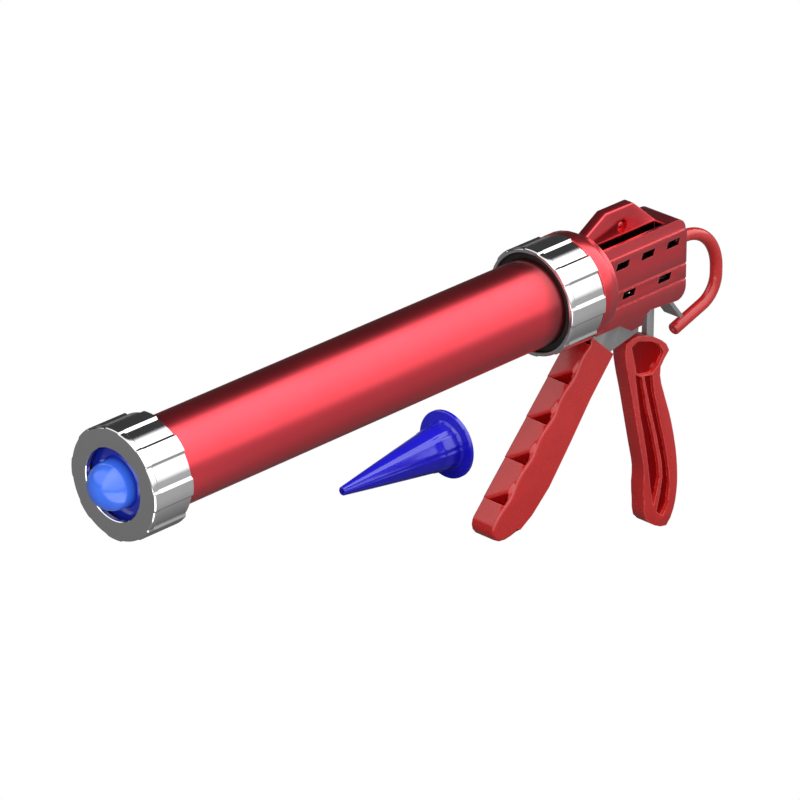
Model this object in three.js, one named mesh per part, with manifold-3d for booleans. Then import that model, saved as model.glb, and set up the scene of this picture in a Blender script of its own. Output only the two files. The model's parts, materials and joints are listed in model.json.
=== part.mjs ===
// A caulking gun for 600 ml sausage packs, with its loose nozzle beside it.
// Millimetres, +Z up. The barrel's axis is the X axis of the inner group, x = 0 is the
// front face of the front cap, and +X points to the hook. The outer group moves all of it
// so that the origin is the middle of the hand grip, which is what holds the gun up.
import * as THREE from 'three';
import { mergeVertices } from 'three/addons/utils/BufferGeometryUtils.js';
import Module from 'manifold-3d';

const wasm = await Module();
wasm.setup();

// ---------- driving dimensions ----------
const GAP = 0.3; // between faces that touch
const RUNNING = 0.35; // radial clearance round a sliding rod or pin
const ROUND = 36; // facets round a large turned part
const SMALL_ROUND = 12; // facets round a pin, rod or bush

const BARREL = { length: 358, outerRadius: 27.5, wall: 1.5, collarHeight: 2.7, collarLength: 4 };
const GRIP_RING = { ridges: 8, wall: 3, ridgeHeight: 1.4, ridgeHalfAngle: 8, bevel: 1.2 };
const CAP = { length: 30.6, faceWall: 3, lip: 3.8 };
const LINER = { thickness: 1.5, setBack: 0.7 };
const GASKET = { thickness: 1.5, lip: 1.5 };
const RING = { length: 30, mouthGap: 4, lipThickness: 4 };
const RING_WASHER_THICKNESS = 1.5;
const SPIGOT = { length: 11, wall: 6 };
const FLANGE = { rise: 0.5, length: 10.8, stepDrop: 3.5, stepLength: 4.5 };
const FRONT_WALL = 6; // between the barrel's side and the mechanism's cavity

const BODY = { length: 78, halfWidth: 16, wall: 3.8, top: 22.5, bottom: -31.4, rearWall: 3,
  cornerRadius: 8 };
const TROUGH = { roof: 2.4, rearFromEnd: 17 }; // its floor is the roof of the mechanism's cavity
const LEDGE = { height: 14.6, depth: 1.2 };
const GROOVE = { heights: [-9, -19.4], height: 1.4, depth: 0.6 };
const WINDOW = { length: 11, height: 4.6, slant: 1.6, upperZ: 6.4, lowerZ: -14.4, upperFirst: 15,
  lowerFirst: 21,
  fromRear: 17.2, lowerShift: 7.3 };
const FIN = { halfWidth: 4, top: 40, frontRun: 17, rearRun: 20.2, deck: 16.5 };
const FIN_HOLE = { fromStep: 32, overTop: 4.9, radius: 4.4, rivetRadius: 3 };
const BULKHEAD = { thickness: 3, fromCavityRear: 20 };

const ROD_RADIUS = 4;
const BUSH = { wall: 2, flangeWidth: 2.6, flangeThickness: 1.2 };
const HOOK = { straight: 15.5, topRadius: 31, drop: 3.8, lowRadius: 18.5, lowTurn: 72, tail: 28 };

const PLUNGER = { domeRadius: 14.8, discThickness: 8, runClearance: 0.5, hubRadius: 12, hubLength: 9 };
const PLUNGER_START = 1.2; // disc's front face behind the barrel's mouth
const SEAL = { width: 2.6, depth: 1.8 };
const BACKING = { setBack: 2, thickness: 2 };
const NUT = { wall: 3.7, thickness: 6.5 };

const TRIGGER_PIVOT = { fromStep: 30, z: -30, pinRadius: 3, lobeRadius: 8.2, lobeRear: 15.5,
  lobeFront: 12.2,
  spacerRadius: 5.5 };
const TRIGGER = { width: 18.5, sleeveWall: 1.6, cheek: 1.5, frontWall: 5.2, endWall: 3 };
const ROLLER = { rise: 19.5, ahead: 0.5, radius: 3.5, pinRadius: 1.5 };
const FINGER = { count: 4, pitch: 28, first: 14.5, depth: 3, radius: 13 };
const DRIVE = { thickness: 4, sideRoom: 2.2, low: -12, headroom: 1.3 };
const SPRING = { wire: 1.4, overRod: 2.4, turns: 5 };
const SEAT_THICKNESS = 1;

const GRIP = { sideRoom: 0.55, recess: 1.5, top: -58 };
const CORE = { cheek: 3.1, socketDepth: 38, pinRadius: 2, pinZ: -19, screwRadius: 2, screwAhead: 1.6,
  screwDrop: 20 };
const RELEASE = { thickness: 2.5, halfWidth: 7, pinRadius: 1.5, eyeRadius: 3.2, overRod: 1, headroom: 0.4,
  slot: 1.2, kneeZ: -33, tabReach: 13.5, tabDrop: 17 };

const NOZZLE = { length: 96.6, hold: 0.8, flangeThickness: 3, baseRadius: 16.2, baseLength: 14,
  tipRadius: 3, wall: 1.5, tipHole: 1.5 };
const NOZZLE_PLACE = { fromStep: 36.1, y: 146, floor: -195 };
const HAND_Z = -112; // height of the hand's place on the grip

// ---------- places along the barrel, worked out from the sizes above ----------
const barrelBore = BARREL.outerRadius - BARREL.wall;
const collarRadius = BARREL.outerRadius + BARREL.collarHeight;
const valleyRadius = collarRadius + GAP + GRIP_RING.wall;
const ridgeRadius = valleyRadius + GRIP_RING.ridgeHeight;
const capHole = barrelBore - CAP.lip;
const flangeRadius = valleyRadius + FLANGE.rise;
const stepRadius = flangeRadius - FLANGE.stepDrop;
const linerFront = CAP.faceWall + GAP;
const barrelFront = linerFront + LINER.thickness + GAP;
const barrelRear = barrelFront + BARREL.length;
const collarFront = barrelRear - BARREL.collarLength;
const gasketFront = barrelRear + GAP;
const spigotFront = gasketFront + GASKET.thickness + GAP;
const flangeFront = spigotFront + SPIGOT.length;
const flangeRear = flangeFront + FLANGE.length;
const stepRear = flangeRear + FLANGE.stepLength;
const ringRear = flangeFront - GAP;
const ringFront = ringRear - RING.length;
const ringWasherFront = collarFront - GAP - RING_WASHER_THICKNESS;
const lipRear = ringWasherFront - GAP;
const lipFront = lipRear - RING.lipThickness;
const bodyRear = stepRear + BODY.length;
const cavityFront = stepRear + 2.5;
const cavityRear = bodyRear - BODY.rearWall;
const wallFront = cavityFront - FRONT_WALL;
const cavityHalf = BODY.halfWidth - BODY.wall;
const discFront = barrelFront + PLUNGER_START;
const discRear = discFront + PLUNGER.discThickness;
const discRadius = barrelBore - PLUNGER.runClearance;
const bushRadius = ROD_RADIUS + RUNNING + BUSH.wall;
const PIVOT = { ...TRIGGER_PIVOT, x: stepRear + TRIGGER_PIVOT.fromStep };
const rollerX = PIVOT.x + ROLLER.ahead;
const rollerZ = PIVOT.z + ROLLER.rise;
const driveRear = rollerX - ROLLER.radius - GAP;
const driveFront = driveRear - DRIVE.thickness;
const bulkheadRear = cavityRear - BULKHEAD.fromCavityRear;
const springRadius = ROD_RADIUS + SPRING.overRod;
const eyeHeight = ROD_RADIUS + RELEASE.overRod + RELEASE.eyeRadius;
const cavityTop = eyeHeight + RELEASE.eyeRadius + RELEASE.headroom;
const troughFloor = cavityTop + TROUGH.roof;
const releaseRear = cavityRear - GAP - RELEASE.eyeRadius + RELEASE.thickness / 2;
const releaseFront = releaseRear - RELEASE.thickness;
const sleeveHalf = TRIGGER.width / 2;
const channelHalf = sleeveHalf - TRIGGER.sleeveWall;
const leverHalf = channelHalf - GAP;
const leverInner = leverHalf - TRIGGER.cheek;
const spacerOuter = cavityHalf - GAP;
const gripHalf = leverInner - GRIP.sideRoom;
const coreHalf = gripHalf - CORE.cheek;
const coreX = bulkheadRear + 6.5;
const handX = coreX + 2;
const nozzleRear = stepRear + NOZZLE_PLACE.fromStep;
const nozzleFlange = capHole + NOZZLE.hold;
const fin = {
  frontTop: stepRear + FIN.frontRun,
  rearTop: bodyRear - FIN.deck - FIN.rearRun,
  rearFoot: bodyRear - FIN.deck,
  holeX: stepRear + FIN_HOLE.fromStep,
  holeZ: BODY.top + FIN_HOLE.overTop,
};
// Cross pins go in from the far side and stop short of the near face.
const blindEnd = -BODY.halfWidth + 1.5;
const openEnd = BODY.halfWidth + 1;

// ---------- materials ----------
const finish = (color, roughness, metalness) =>
  new THREE.MeshStandardMaterial({ color, roughness, metalness });
const anodised = finish(0xc22436, 0.3, 0.7);
const redPaint = finish(0xa8343c, 0.42, 0.1);
const redHandle = finish(0xb82f31, 0.38, 0.05);
const chrome = finish(0xd9d9dc, 0.12, 1);
const greyMetal = finish(0xa4a4a4, 0.45, 0.8);
const steel = finish(0x8c9094, 0.35, 0.9);
const springSteel = finish(0x6f7377, 0.35, 0.9);
const blackRubber = finish(0x1b1b1d, 0.8, 0);
const bronze = finish(0xa9824a, 0.4, 0.8);
const bluePlastic = finish(0x2f5fe6, 0.3, 0);
const deepBlue = finish(0x2b2bc8, 0.35, 0);

// ---------- solids ----------
function toSolid(geometry) {
  const bare = geometry.clone();
  bare.deleteAttribute('normal');
  bare.deleteAttribute('uv');
  const merged = mergeVertices(bare, 1e-4);
  const corners = merged.index.array;
  const kept = [];
  for (let i = 0; i < corners.length; i += 3) {
    const [a, b, c] = corners.slice(i, i + 3);
    if (a !== b && b !== c && c !== a) kept.push(a, b, c);
  }
  return new wasm.Manifold(new wasm.Mesh({
    numProp: 3,
    vertProperties: new Float32Array(merged.attributes.position.array),
    triVerts: new Uint32Array(kept),
  }));
}

function toGeometry(solid) {
  const mesh = solid.getMesh();
  const geometry = new THREE.BufferGeometry();
  geometry.setAttribute('position', new THREE.BufferAttribute(mesh.vertProperties, 3));
  geometry.setIndex(new THREE.BufferAttribute(mesh.triVerts, 1));
  const flat = geometry.toNonIndexed();
  flat.computeVertexNormals();
  return flat;
}

const join = (first, ...others) => others.reduce((whole, piece) => whole.add(piece), first);
const cut = (whole, ...tools) => tools.reduce((left, tool) => left.subtract(tool), whole);

// A turned solid about the X axis. The outline is a list of [x, radius] points.
function turned(outline, facets = ROUND) {
  const points = outline.map(([x, r]) => new THREE.Vector2(r, x));
  const area = points.reduce((sum, p, i) => {
    const q = points[(i + 1) % points.length];
    return sum + p.x * q.y - q.x * p.y;
  }, 0);
  if (area < 0) points.reverse();
  const onAxis = points.some((p) => p.x === 0);
  if (onAxis) {
    while (points[0].x !== 0 || points[points.length - 1].x !== 0) points.push(points.shift());
  } else {
    points.push(points[0].clone());
  }
  return toSolid(new THREE.LatheGeometry(points, facets).rotateZ(-Math.PI / 2));
}

const rod = (x0, x1, radius, facets = SMALL_ROUND) =>
  turned([[x0, 0], [x0, radius], [x1, radius], [x1, 0]], facets);
const pipe = (x0, x1, inner, outer, facets = ROUND) =>
  turned([[x0, inner], [x0, outer], [x1, outer], [x1, inner]], facets);

// A cylinder across the gun, along Y, at a place in the side view.
function crossPin(x, z, radius, y0, y1, facets = SMALL_ROUND) {
  const pin = new THREE.CylinderGeometry(radius, radius, y1 - y0, facets);
  return toSolid(pin.translate(x, (y0 + y1) / 2, z));
}

function block(x0, x1, y0, y1, z0, z1) {
  const box = new THREE.BoxGeometry(x1 - x0, y1 - y0, z1 - z0);
  return toSolid(box.translate((x0 + x1) / 2, (y0 + y1) / 2, (z0 + z1) / 2));
}

// A shape drawn in the side view (x to the right, z up) and given a width along Y.
function slab(shape, y0, y1, curveSegments = 6) {
  const drawn = new THREE.ExtrudeGeometry(shape, { depth: y1 - y0, bevelEnabled: false, curveSegments });
  return toSolid(drawn.rotateX(Math.PI / 2).translate(0, y1, 0));
}

const polygon = (points) => new THREE.Shape(points.map(([x, z]) => new THREE.Vector2(x, z)));

// A smooth closed outline through a few hand-chosen points.
function smoothOutline(points, count) {
  const through = points.map(([x, z]) => new THREE.Vector3(x, z, 0));
  const curve = new THREE.CatmullRomCurve3(through, true, 'centripetal');
  const spaced = curve.getSpacedPoints(count).slice(0, -1);
  return new THREE.Shape(spaced.map((p) => new THREE.Vector2(p.x, p.y)));
}

// ---------- the outer group, its one inner frame, and how a part is added ----------
const gun = new THREE.Group();
const axisFrame = new THREE.Group();
axisFrame.position.set(-handX, 0, -HAND_Z);
gun.add(axisFrame);

function addPart(name, solid, material) {
  const mesh = new THREE.Mesh(toGeometry(solid), material);
  mesh.name = name;
  axisFrame.add(mesh);
}

// ---------- front cap, liner and rear ring ----------
// The hand grip round a cap or ring: broad shallow valleys between eight narrow ridges.
function ridgedOutline() {
  const shape = new THREE.Shape();
  const step = (2 * Math.PI) / GRIP_RING.ridges;
  const half = THREE.MathUtils.degToRad(GRIP_RING.ridgeHalfAngle);
  const slope = 0.6 * half;
  for (let i = 0; i < GRIP_RING.ridges; i += 1) {
    const middle = i * step;
    shape.absarc(0, 0, ridgeRadius, middle - half, middle + half, false);
    shape.absarc(0, 0, valleyRadius, middle + half + slope, middle + step - half - slope, false);
  }
  return shape;
}

function ridgedBlank(x0, x1) {
  const bevel = GRIP_RING.bevel;
  const blank = new THREE.ExtrudeGeometry(ridgedOutline(), {
    depth: x1 - x0 - 2 * bevel, curveSegments: 2,
    bevelThickness: bevel, bevelSize: bevel, bevelOffset: -bevel, bevelSegments: 1,
  });
  return toSolid(blank.rotateY(Math.PI / 2).translate(x0 + bevel, 0, 0));
}

function addFrontCap() {
  const bore = BARREL.outerRadius + GAP;
  const hollow = turned([[-1, 0], [-1, capHole], [CAP.faceWall, capHole],
    [CAP.faceWall, bore], [CAP.length + 1, bore], [CAP.length + 1, 0]]);
  addPart('front_cap', cut(ridgedBlank(0, CAP.length), hollow), chrome);
  const liner = pipe(linerFront, linerFront + LINER.thickness, capHole + LINER.setBack,
    BARREL.outerRadius);
  addPart('cap_liner', liner, blackRubber);
}

function addBarrel() {
  const tube = turned([[barrelFront, barrelBore], [barrelFront, BARREL.outerRadius],
    [collarFront, BARREL.outerRadius], [collarFront, collarRadius],
    [barrelRear, collarRadius], [barrelRear, barrelBore]]);
  addPart('barrel_tube', tube, anodised);
  const gasketRear = gasketFront + GASKET.thickness;
  addPart('barrel_gasket', pipe(gasketFront, gasketRear, barrelBore - GASKET.lip, collarRadius),
    blackRubber);
}

function addRearRing() {
  const slip = BARREL.outerRadius + GAP;
  const chamber = collarRadius + GAP;
  const mouth = BARREL.outerRadius + RING.mouthGap;
  const hollow = turned([[ringFront - 1, 0], [ringFront - 1, mouth], [lipFront, mouth], [lipFront, slip],
    [lipRear, slip], [lipRear, chamber], [ringRear + 1, chamber], [ringRear + 1, 0]]);
  addPart('rear_ring', cut(ridgedBlank(ringFront, ringRear), hollow), chrome);
  const washerRear = ringWasherFront + RING_WASHER_THICKNESS;
  addPart('ring_washer', pipe(ringWasherFront, washerRear, slip, collarRadius), steel);
}

// ---------- body ----------
function bodyOutline() {
  const top = BODY.top;
  const r = BODY.cornerRadius;
  const shape = new THREE.Shape();
  shape.moveTo(flangeRear + 1, top);
  shape.lineTo(bodyRear - r, top);
  shape.absarc(bodyRear - r, top - r, r, Math.PI / 2, 0, true);
  shape.lineTo(bodyRear, BODY.bottom + r);
  shape.absarc(bodyRear - r, BODY.bottom + r, r, 0, -Math.PI / 2, true);
  shape.lineTo(PIVOT.x + PIVOT.lobeRear, BODY.bottom + 1.9);
  shape.lineTo(PIVOT.x + 11, PIVOT.z - 2);
  shape.lineTo(PIVOT.x + 9, PIVOT.z - PIVOT.lobeRadius + 0.8);
  shape.lineTo(PIVOT.x - 1.5, PIVOT.z - PIVOT.lobeRadius);
  shape.lineTo(PIVOT.x - PIVOT.lobeFront, BODY.bottom);
  shape.lineTo(flangeRear + 1, BODY.bottom);
  return shape;
}

function finOutline() {
  const base = troughFloor - 2;
  return polygon([[flangeRear - 4, base], [flangeRear - 0.5, BODY.top + 4.5], [fin.frontTop, FIN.top],
    [fin.rearTop, FIN.top], [fin.rearFoot, BODY.top], [fin.rearFoot, base]]);
}

// A ventilation window: a parallelogram with its two ends leaning the same way.
function windowTool(x, z) {
  const { length, height, slant } = WINDOW;
  const outline = polygon([[x - slant, z], [x + length - slant, z], [x + length, z + height],
    [x, z + height]]);
  return slab(outline, -BODY.halfWidth - 1, BODY.halfWidth + 1);
}

const bushSeat = (x0, x1) => rod(x0 - 1, x1 + 1, bushRadius + GAP, 24);

function addBody() {
  const blank = slab(bodyOutline(), -BODY.halfWidth, BODY.halfWidth);
  const turnedFront = turned([[spigotFront, 0], [spigotFront, collarRadius],
    [flangeFront, collarRadius], [flangeFront, flangeRadius], [flangeRear, flangeRadius],
    [flangeRear, stepRadius], [stepRear, stepRadius], [stepRear, 0]]);
  const finBlade = slab(finOutline(), -FIN.halfWidth, FIN.halfWidth);
  let body = join(turnedFront, blank, finBlade);

  const mouth = rod(spigotFront - 1, wallFront, collarRadius - SPIGOT.wall, ROUND);
  const hollow = (x0, x1, top) => block(x0, x1, -cavityHalf, cavityHalf, 2 * BODY.bottom, top);
  const frontPart = hollow(cavityFront, bulkheadRear - BULKHEAD.thickness, cavityTop);
  const rearPart = hollow(bulkheadRear, cavityRear, cavityTop);
  const link = hollow(cavityFront, cavityRear, -bushRadius - 1.5);
  const rodHole = rod(spigotFront, bodyRear + 1, ROD_RADIUS + RUNNING + 0.4);
  body = cut(body, mouth, frontPart, rearPart, link, rodHole);

  const troughRear = bodyRear - TROUGH.rearFromEnd;
  const troughs = [-1, 1].map((side) => {
    const inner = side * (FIN.halfWidth + 0.1);
    const outer = side * (cavityHalf + 0.6);
    const [y0, y1] = inner < outer ? [inner, outer] : [outer, inner];
    return block(stepRear + 0.6, troughRear, y0, y1, troughFloor, BODY.top + 3);
  });
  body = cut(body, ...troughs);

  const sideFace = BODY.halfWidth;
  const bands = [-1, 1].flatMap((side) => {
    const strip = (depth, z0, z1) => {
      const a = side * (sideFace - depth);
      const b = side * (sideFace + 1);
      return block(stepRear + 0.5, bodyRear + 1, Math.min(a, b), Math.max(a, b), z0, z1);
    };
    return [strip(LEDGE.depth, LEDGE.height, BODY.top + 1),
      ...GROOVE.heights.map((z) => strip(GROOVE.depth, z, z + GROOVE.height))];
  });
  const { upperFirst, lowerFirst, fromRear } = WINDOW;
  const upperLast = BODY.length - fromRear;
  const upperRow = [upperFirst, (upperFirst + upperLast) / 2, upperLast];
  const lowerRow = [lowerFirst, upperLast - WINDOW.lowerShift];
  const upperWindows = upperRow.map((along) => windowTool(stepRear + along, WINDOW.upperZ));
  const lowerWindows = lowerRow.map((along) => windowTool(stepRear + along, WINDOW.lowerZ));
  body = cut(body, ...bands, ...upperWindows, ...lowerWindows);

  const seats = [
    bushSeat(wallFront, cavityFront),
    bushSeat(cavityRear, bodyRear),
    crossPin(PIVOT.x, PIVOT.z, PIVOT.pinRadius + RUNNING, blindEnd, openEnd),
    crossPin(coreX, CORE.pinZ, CORE.pinRadius + RUNNING, blindEnd, openEnd),
    crossPin(releaseFront + RELEASE.thickness / 2, eyeHeight, RELEASE.pinRadius + RUNNING,
      blindEnd, openEnd),
    crossPin(fin.holeX, fin.holeZ, FIN_HOLE.radius, -FIN.halfWidth - 1, FIN.halfWidth + 1),
  ];
  addPart('body_housing', cut(body, ...seats), redPaint);

  const rivetHalf = FIN.halfWidth - 1;
  const rivet = join(crossPin(fin.holeX, fin.holeZ, FIN_HOLE.rivetRadius, -rivetHalf, rivetHalf),
    crossPin(fin.holeX, fin.holeZ, FIN_HOLE.radius - GAP, -1, 1));
  addPart('fin_rivet', rivet, redPaint);
}

function addBushes() {
  const inner = ROD_RADIUS + RUNNING;
  const wide = bushRadius + BUSH.flangeWidth;
  const thick = BUSH.flangeThickness;
  const front = turned([[wallFront - GAP - thick, inner], [wallFront - GAP - thick, wide],
    [wallFront - GAP, wide], [wallFront - GAP, bushRadius], [cavityFront, bushRadius],
    [cavityFront, inner]], 24);
  addPart('front_rod_bush', front, bronze);
  const rear = turned([[bodyRear + GAP + thick, inner], [bodyRear + GAP + thick, wide],
    [bodyRear + GAP, wide], [bodyRear + GAP, bushRadius], [cavityRear, bushRadius],
    [cavityRear, inner]], 24);
  addPart('rear_rod_bush', rear, bronze);
}

// ---------- rod, hook and plunger ----------
function hookPath() {
  const path = new THREE.CurvePath();
  const at = (x, z) => new THREE.Vector3(x, 0, z);
  const bendStart = bodyRear + HOOK.straight;
  const arc = (cx, cz, radius, from, to) => {
    const points = [];
    const steps = 12;
    for (let i = 0; i <= steps; i += 1) {
      const angle = THREE.MathUtils.degToRad(from + ((to - from) * i) / steps);
      points.push(at(cx + radius * Math.cos(angle), cz + radius * Math.sin(angle)));
    }
    return points;
  };
  const upper = arc(bendStart, -HOOK.topRadius, HOOK.topRadius, 90, 0);
  const lowCentre = { x: bendStart + HOOK.topRadius - HOOK.lowRadius, z: -HOOK.topRadius - HOOK.drop };
  const lower = arc(lowCentre.x, lowCentre.z, HOOK.lowRadius, 0, -HOOK.lowTurn);
  const heading = THREE.MathUtils.degToRad(-90 - HOOK.lowTurn);
  const last = lower[lower.length - 1];
  const tip = at(last.x + HOOK.tail * Math.cos(heading), last.z + HOOK.tail * Math.sin(heading));
  const points = [at(bendStart - 4, 0), ...upper, ...lower, tip];
  for (let i = 1; i < points.length; i += 1) path.add(new THREE.LineCurve3(points[i - 1], points[i]));
  return path;
}

function circleShape(radius, facets) {
  const points = [];
  for (let i = 0; i < facets; i += 1) {
    const angle = (2 * Math.PI * i) / facets;
    points.push(new THREE.Vector2(radius * Math.cos(angle), radius * Math.sin(angle)));
  }
  return new THREE.Shape(points);
}

function addRod() {
  const rodFront = discFront + 2;
  const hook = new THREE.ExtrudeGeometry(circleShape(ROD_RADIUS, SMALL_ROUND),
    { steps: 26, extrudePath: hookPath(), bevelEnabled: false });
  const straight = rod(rodFront, bodyRear + HOOK.straight - 3.5, ROD_RADIUS);
  addPart('hook_rod', join(straight, toSolid(hook)), redPaint);
}

function addPlunger() {
  const dome = [];
  const steps = 6;
  for (let i = 0; i <= steps; i += 1) {
    const angle = (Math.PI / 2) * (i / steps);
    const radius = i === 0 ? 0 : PLUNGER.domeRadius * Math.sin(angle);
    dome.push([-PLUNGER.domeRadius * Math.cos(angle), radius]);
  }
  const grooveFront = discFront + (PLUNGER.discThickness - SEAL.width) / 2 - GAP;
  const grooveRear = grooveFront + SEAL.width + 2 * GAP;
  const grooveRadius = discRadius - SEAL.depth - GAP;
  const pocket = ROD_RADIUS + GAP;
  const outline = [...dome, [discFront, PLUNGER.domeRadius], [discFront, discRadius - 1.5],
    [discFront + 1.5, discRadius], [grooveFront, discRadius], [grooveFront, grooveRadius],
    [grooveRear, grooveRadius], [grooveRear, discRadius], [discRear, discRadius],
    [discRear, pocket], [discFront + 2 - GAP, pocket], [discFront + 2 - GAP, 0]];
  addPart('plunger', turned(outline, ROUND), bluePlastic);
  const sealInner = discRadius - SEAL.depth;
  const seal = pipe(grooveFront + GAP, grooveRear - GAP, sealInner, barrelBore - 0.1);
  addPart('plunger_seal', seal, blackRubber);
  const backFront = discRear + GAP;
  const backRear = backFront + BACKING.thickness;
  addPart('backing_washer', pipe(backFront, backRear, pocket, discRadius - BACKING.setBack), steel);
  const nutFront = backRear + GAP;
  const nutRear = nutFront + NUT.thickness;
  const nut = cut(rod(nutFront, nutRear, pocket + NUT.wall, 6), rod(nutFront - 1, nutRear + 1, pocket));
  addPart('plunger_nut', nut, steel);
}

// ---------- trigger ----------
// The sleeve's straight front line runs from its foot up to its top edge.
const sleeve = {
  foot: new THREE.Vector2(PIVOT.x - 116.1, PIVOT.z - 103.5),
  top: new THREE.Vector2(PIVOT.x - 28.6, PIVOT.z - 6.3),
};
const sleeveLine = sleeve.top.clone().sub(sleeve.foot);
const sleeveAlong = sleeveLine.clone().normalize();
const sleeveIn = new THREE.Vector2(sleeveAlong.y, -sleeveAlong.x);

// A point given as a distance up the sleeve's front line and a depth behind it.
function onSleeve(along, depth) {
  const point = sleeve.foot.clone().addScaledVector(sleeveAlong, along).addScaledVector(sleeveIn, depth);
  return [point.x, point.y];
}

const sleeveLength = sleeveLine.length();
// The sleeve's foot and its rear edge, as distances up the front line and depths behind it.
const SLEEVE_REAR = [[-7, 6.5], [-6, 14], [6, 24], [20, 28.5], [40, 30.5], [70, 28.5], [100, 25.8]];
const SLEEVE_TOP_DEPTH = 25.2;

function addTriggerSleeve() {
  const rear = SLEEVE_REAR.map(([along, depth]) => onSleeve(along, depth));
  const outer = polygon([onSleeve(sleeveLength, 0), onSleeve(4, 0), ...rear,
    onSleeve(sleeveLength, SLEEVE_TOP_DEPTH)]);
  const wall = TRIGGER.frontWall;
  const end = TRIGGER.endWall;
  const hollow = polygon([onSleeve(sleeveLength + 5, wall), onSleeve(end, wall), onSleeve(end - 2, 14),
    onSleeve(8, 50), onSleeve(sleeveLength + 5, 50)]);
  const fingers = [];
  for (let i = 0; i < FINGER.count; i += 1) {
    const [x, z] = onSleeve(FINGER.first + i * FINGER.pitch + 4, FINGER.depth - FINGER.radius);
    fingers.push(crossPin(x, z, FINGER.radius, -sleeveHalf - 1, sleeveHalf + 1, 40));
  }
  const blank = slab(outer, -sleeveHalf, sleeveHalf);
  const channel = slab(hollow, -channelHalf, channelHalf);
  addPart('trigger_sleeve', cut(blank, channel, ...fingers), redHandle);
}

function addTriggerLever() {
  const wall = TRIGGER.frontWall + GAP;
  const shape = new THREE.Shape();
  shape.moveTo(rollerX - 3, rollerZ);
  shape.absarc(rollerX, rollerZ, 3, Math.PI, 0, true);
  shape.lineTo(PIVOT.x + 8, PIVOT.z + 2);
  shape.lineTo(PIVOT.x + 15, PIVOT.z - 14);
  shape.lineTo(PIVOT.x + 14.5, PIVOT.z - 16.6);
  shape.lineTo(PIVOT.x + 3, PIVOT.z - 19);
  shape.lineTo(...onSleeve(sleeveLength, 23.5));
  shape.lineTo(...onSleeve(60, 22));
  shape.lineTo(...onSleeve(22, 18));
  shape.lineTo(...onSleeve(14, wall + 3));
  shape.lineTo(...onSleeve(18, wall));
  shape.lineTo(...onSleeve(sleeveLength + GAP, wall));
  shape.lineTo(...onSleeve(sleeveLength + GAP, 1.5));
  shape.lineTo(PIVOT.x - 14, PIVOT.z - 4);
  shape.lineTo(PIVOT.x - 5, PIVOT.z + 6);
  const cheeks = slab(shape, -leverHalf, leverHalf);
  // The channel between the cheeks leaves a web along the front, from the foot to the neck.
  const web = 2;
  const channel = polygon([onSleeve(0, wall + web), onSleeve(sleeveLength, wall + web),
    [PIVOT.x - 14, PIVOT.z - 4 - web], [PIVOT.x - 12, PIVOT.z + 60], [PIVOT.x + 60, PIVOT.z + 60],
    [PIVOT.x + 60, PIVOT.z - 60], onSleeve(0, 60)]);
  const solid = cut(cheeks, slab(channel, -leverInner, leverInner),
    crossPin(PIVOT.x, PIVOT.z, PIVOT.pinRadius + RUNNING, -leverHalf - 1, leverHalf + 1),
    crossPin(rollerX, rollerZ, ROLLER.pinRadius + GAP, -leverHalf - 1, leverHalf + 1));
  addPart('trigger_lever', solid, greyMetal);
}

function addTriggerPins() {
  const pinEnd = BODY.halfWidth - 0.5;
  addPart('pivot_pin', crossPin(PIVOT.x, PIVOT.z, PIVOT.pinRadius, blindEnd + GAP, pinEnd), steel);
  const hole = crossPin(PIVOT.x, PIVOT.z, PIVOT.pinRadius + RUNNING, -40, 40);
  const spacer = (y0, y1) => cut(crossPin(PIVOT.x, PIVOT.z, PIVOT.spacerRadius, y0, y1), hole);
  addPart('pivot_spacer_near', spacer(-spacerOuter, -leverHalf - GAP), steel);
  addPart('pivot_spacer_far', spacer(leverHalf + GAP, spacerOuter), steel);
  const rollerHalf = leverInner - GAP;
  const bore = crossPin(rollerX, rollerZ, ROLLER.pinRadius + RUNNING, -40, 40);
  const roller = crossPin(rollerX, rollerZ, ROLLER.radius, -rollerHalf, rollerHalf, 20);
  addPart('trigger_roller', cut(roller, bore), steel);
  addPart('roller_pin', crossPin(rollerX, rollerZ, ROLLER.pinRadius, -leverHalf, leverHalf), steel);
}

// ---------- drive plate, springs and release lever ----------
function spring(x0, x1, turns) {
  const inset = SPRING.wire / 2 + GAP / 2;
  class Helix extends THREE.Curve {
    getPoint(t, target = new THREE.Vector3()) {
      const angle = 2 * Math.PI * turns * t;
      const x = THREE.MathUtils.lerp(x0 + inset, x1 - inset, t);
      return target.set(x, springRadius * Math.cos(angle), springRadius * Math.sin(angle));
    }
  }
  const wire = new THREE.ExtrudeGeometry(circleShape(SPRING.wire / 2, 5),
    { steps: turns * 11, extrudePath: new Helix(), bevelEnabled: false });
  return toSolid(wire);
}

function addDrive() {
  const hole = rod(driveFront - 1, driveRear + 1, ROD_RADIUS + RUNNING);
  const driveHalf = cavityHalf - DRIVE.sideRoom;
  const plate = block(driveFront, driveRear, -driveHalf, driveHalf, DRIVE.low,
    cavityTop - DRIVE.headroom);
  addPart('drive_plate', cut(plate, hole), steel);
  const seatRear = cavityFront + GAP + SEAT_THICKNESS;
  const seat = pipe(cavityFront + GAP, seatRear, ROD_RADIUS + RUNNING, springRadius + 2.4, 24);
  addPart('spring_seat', seat, steel);
  addPart('drive_spring', spring(seatRear, driveFront, SPRING.turns), springSteel);
}

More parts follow.
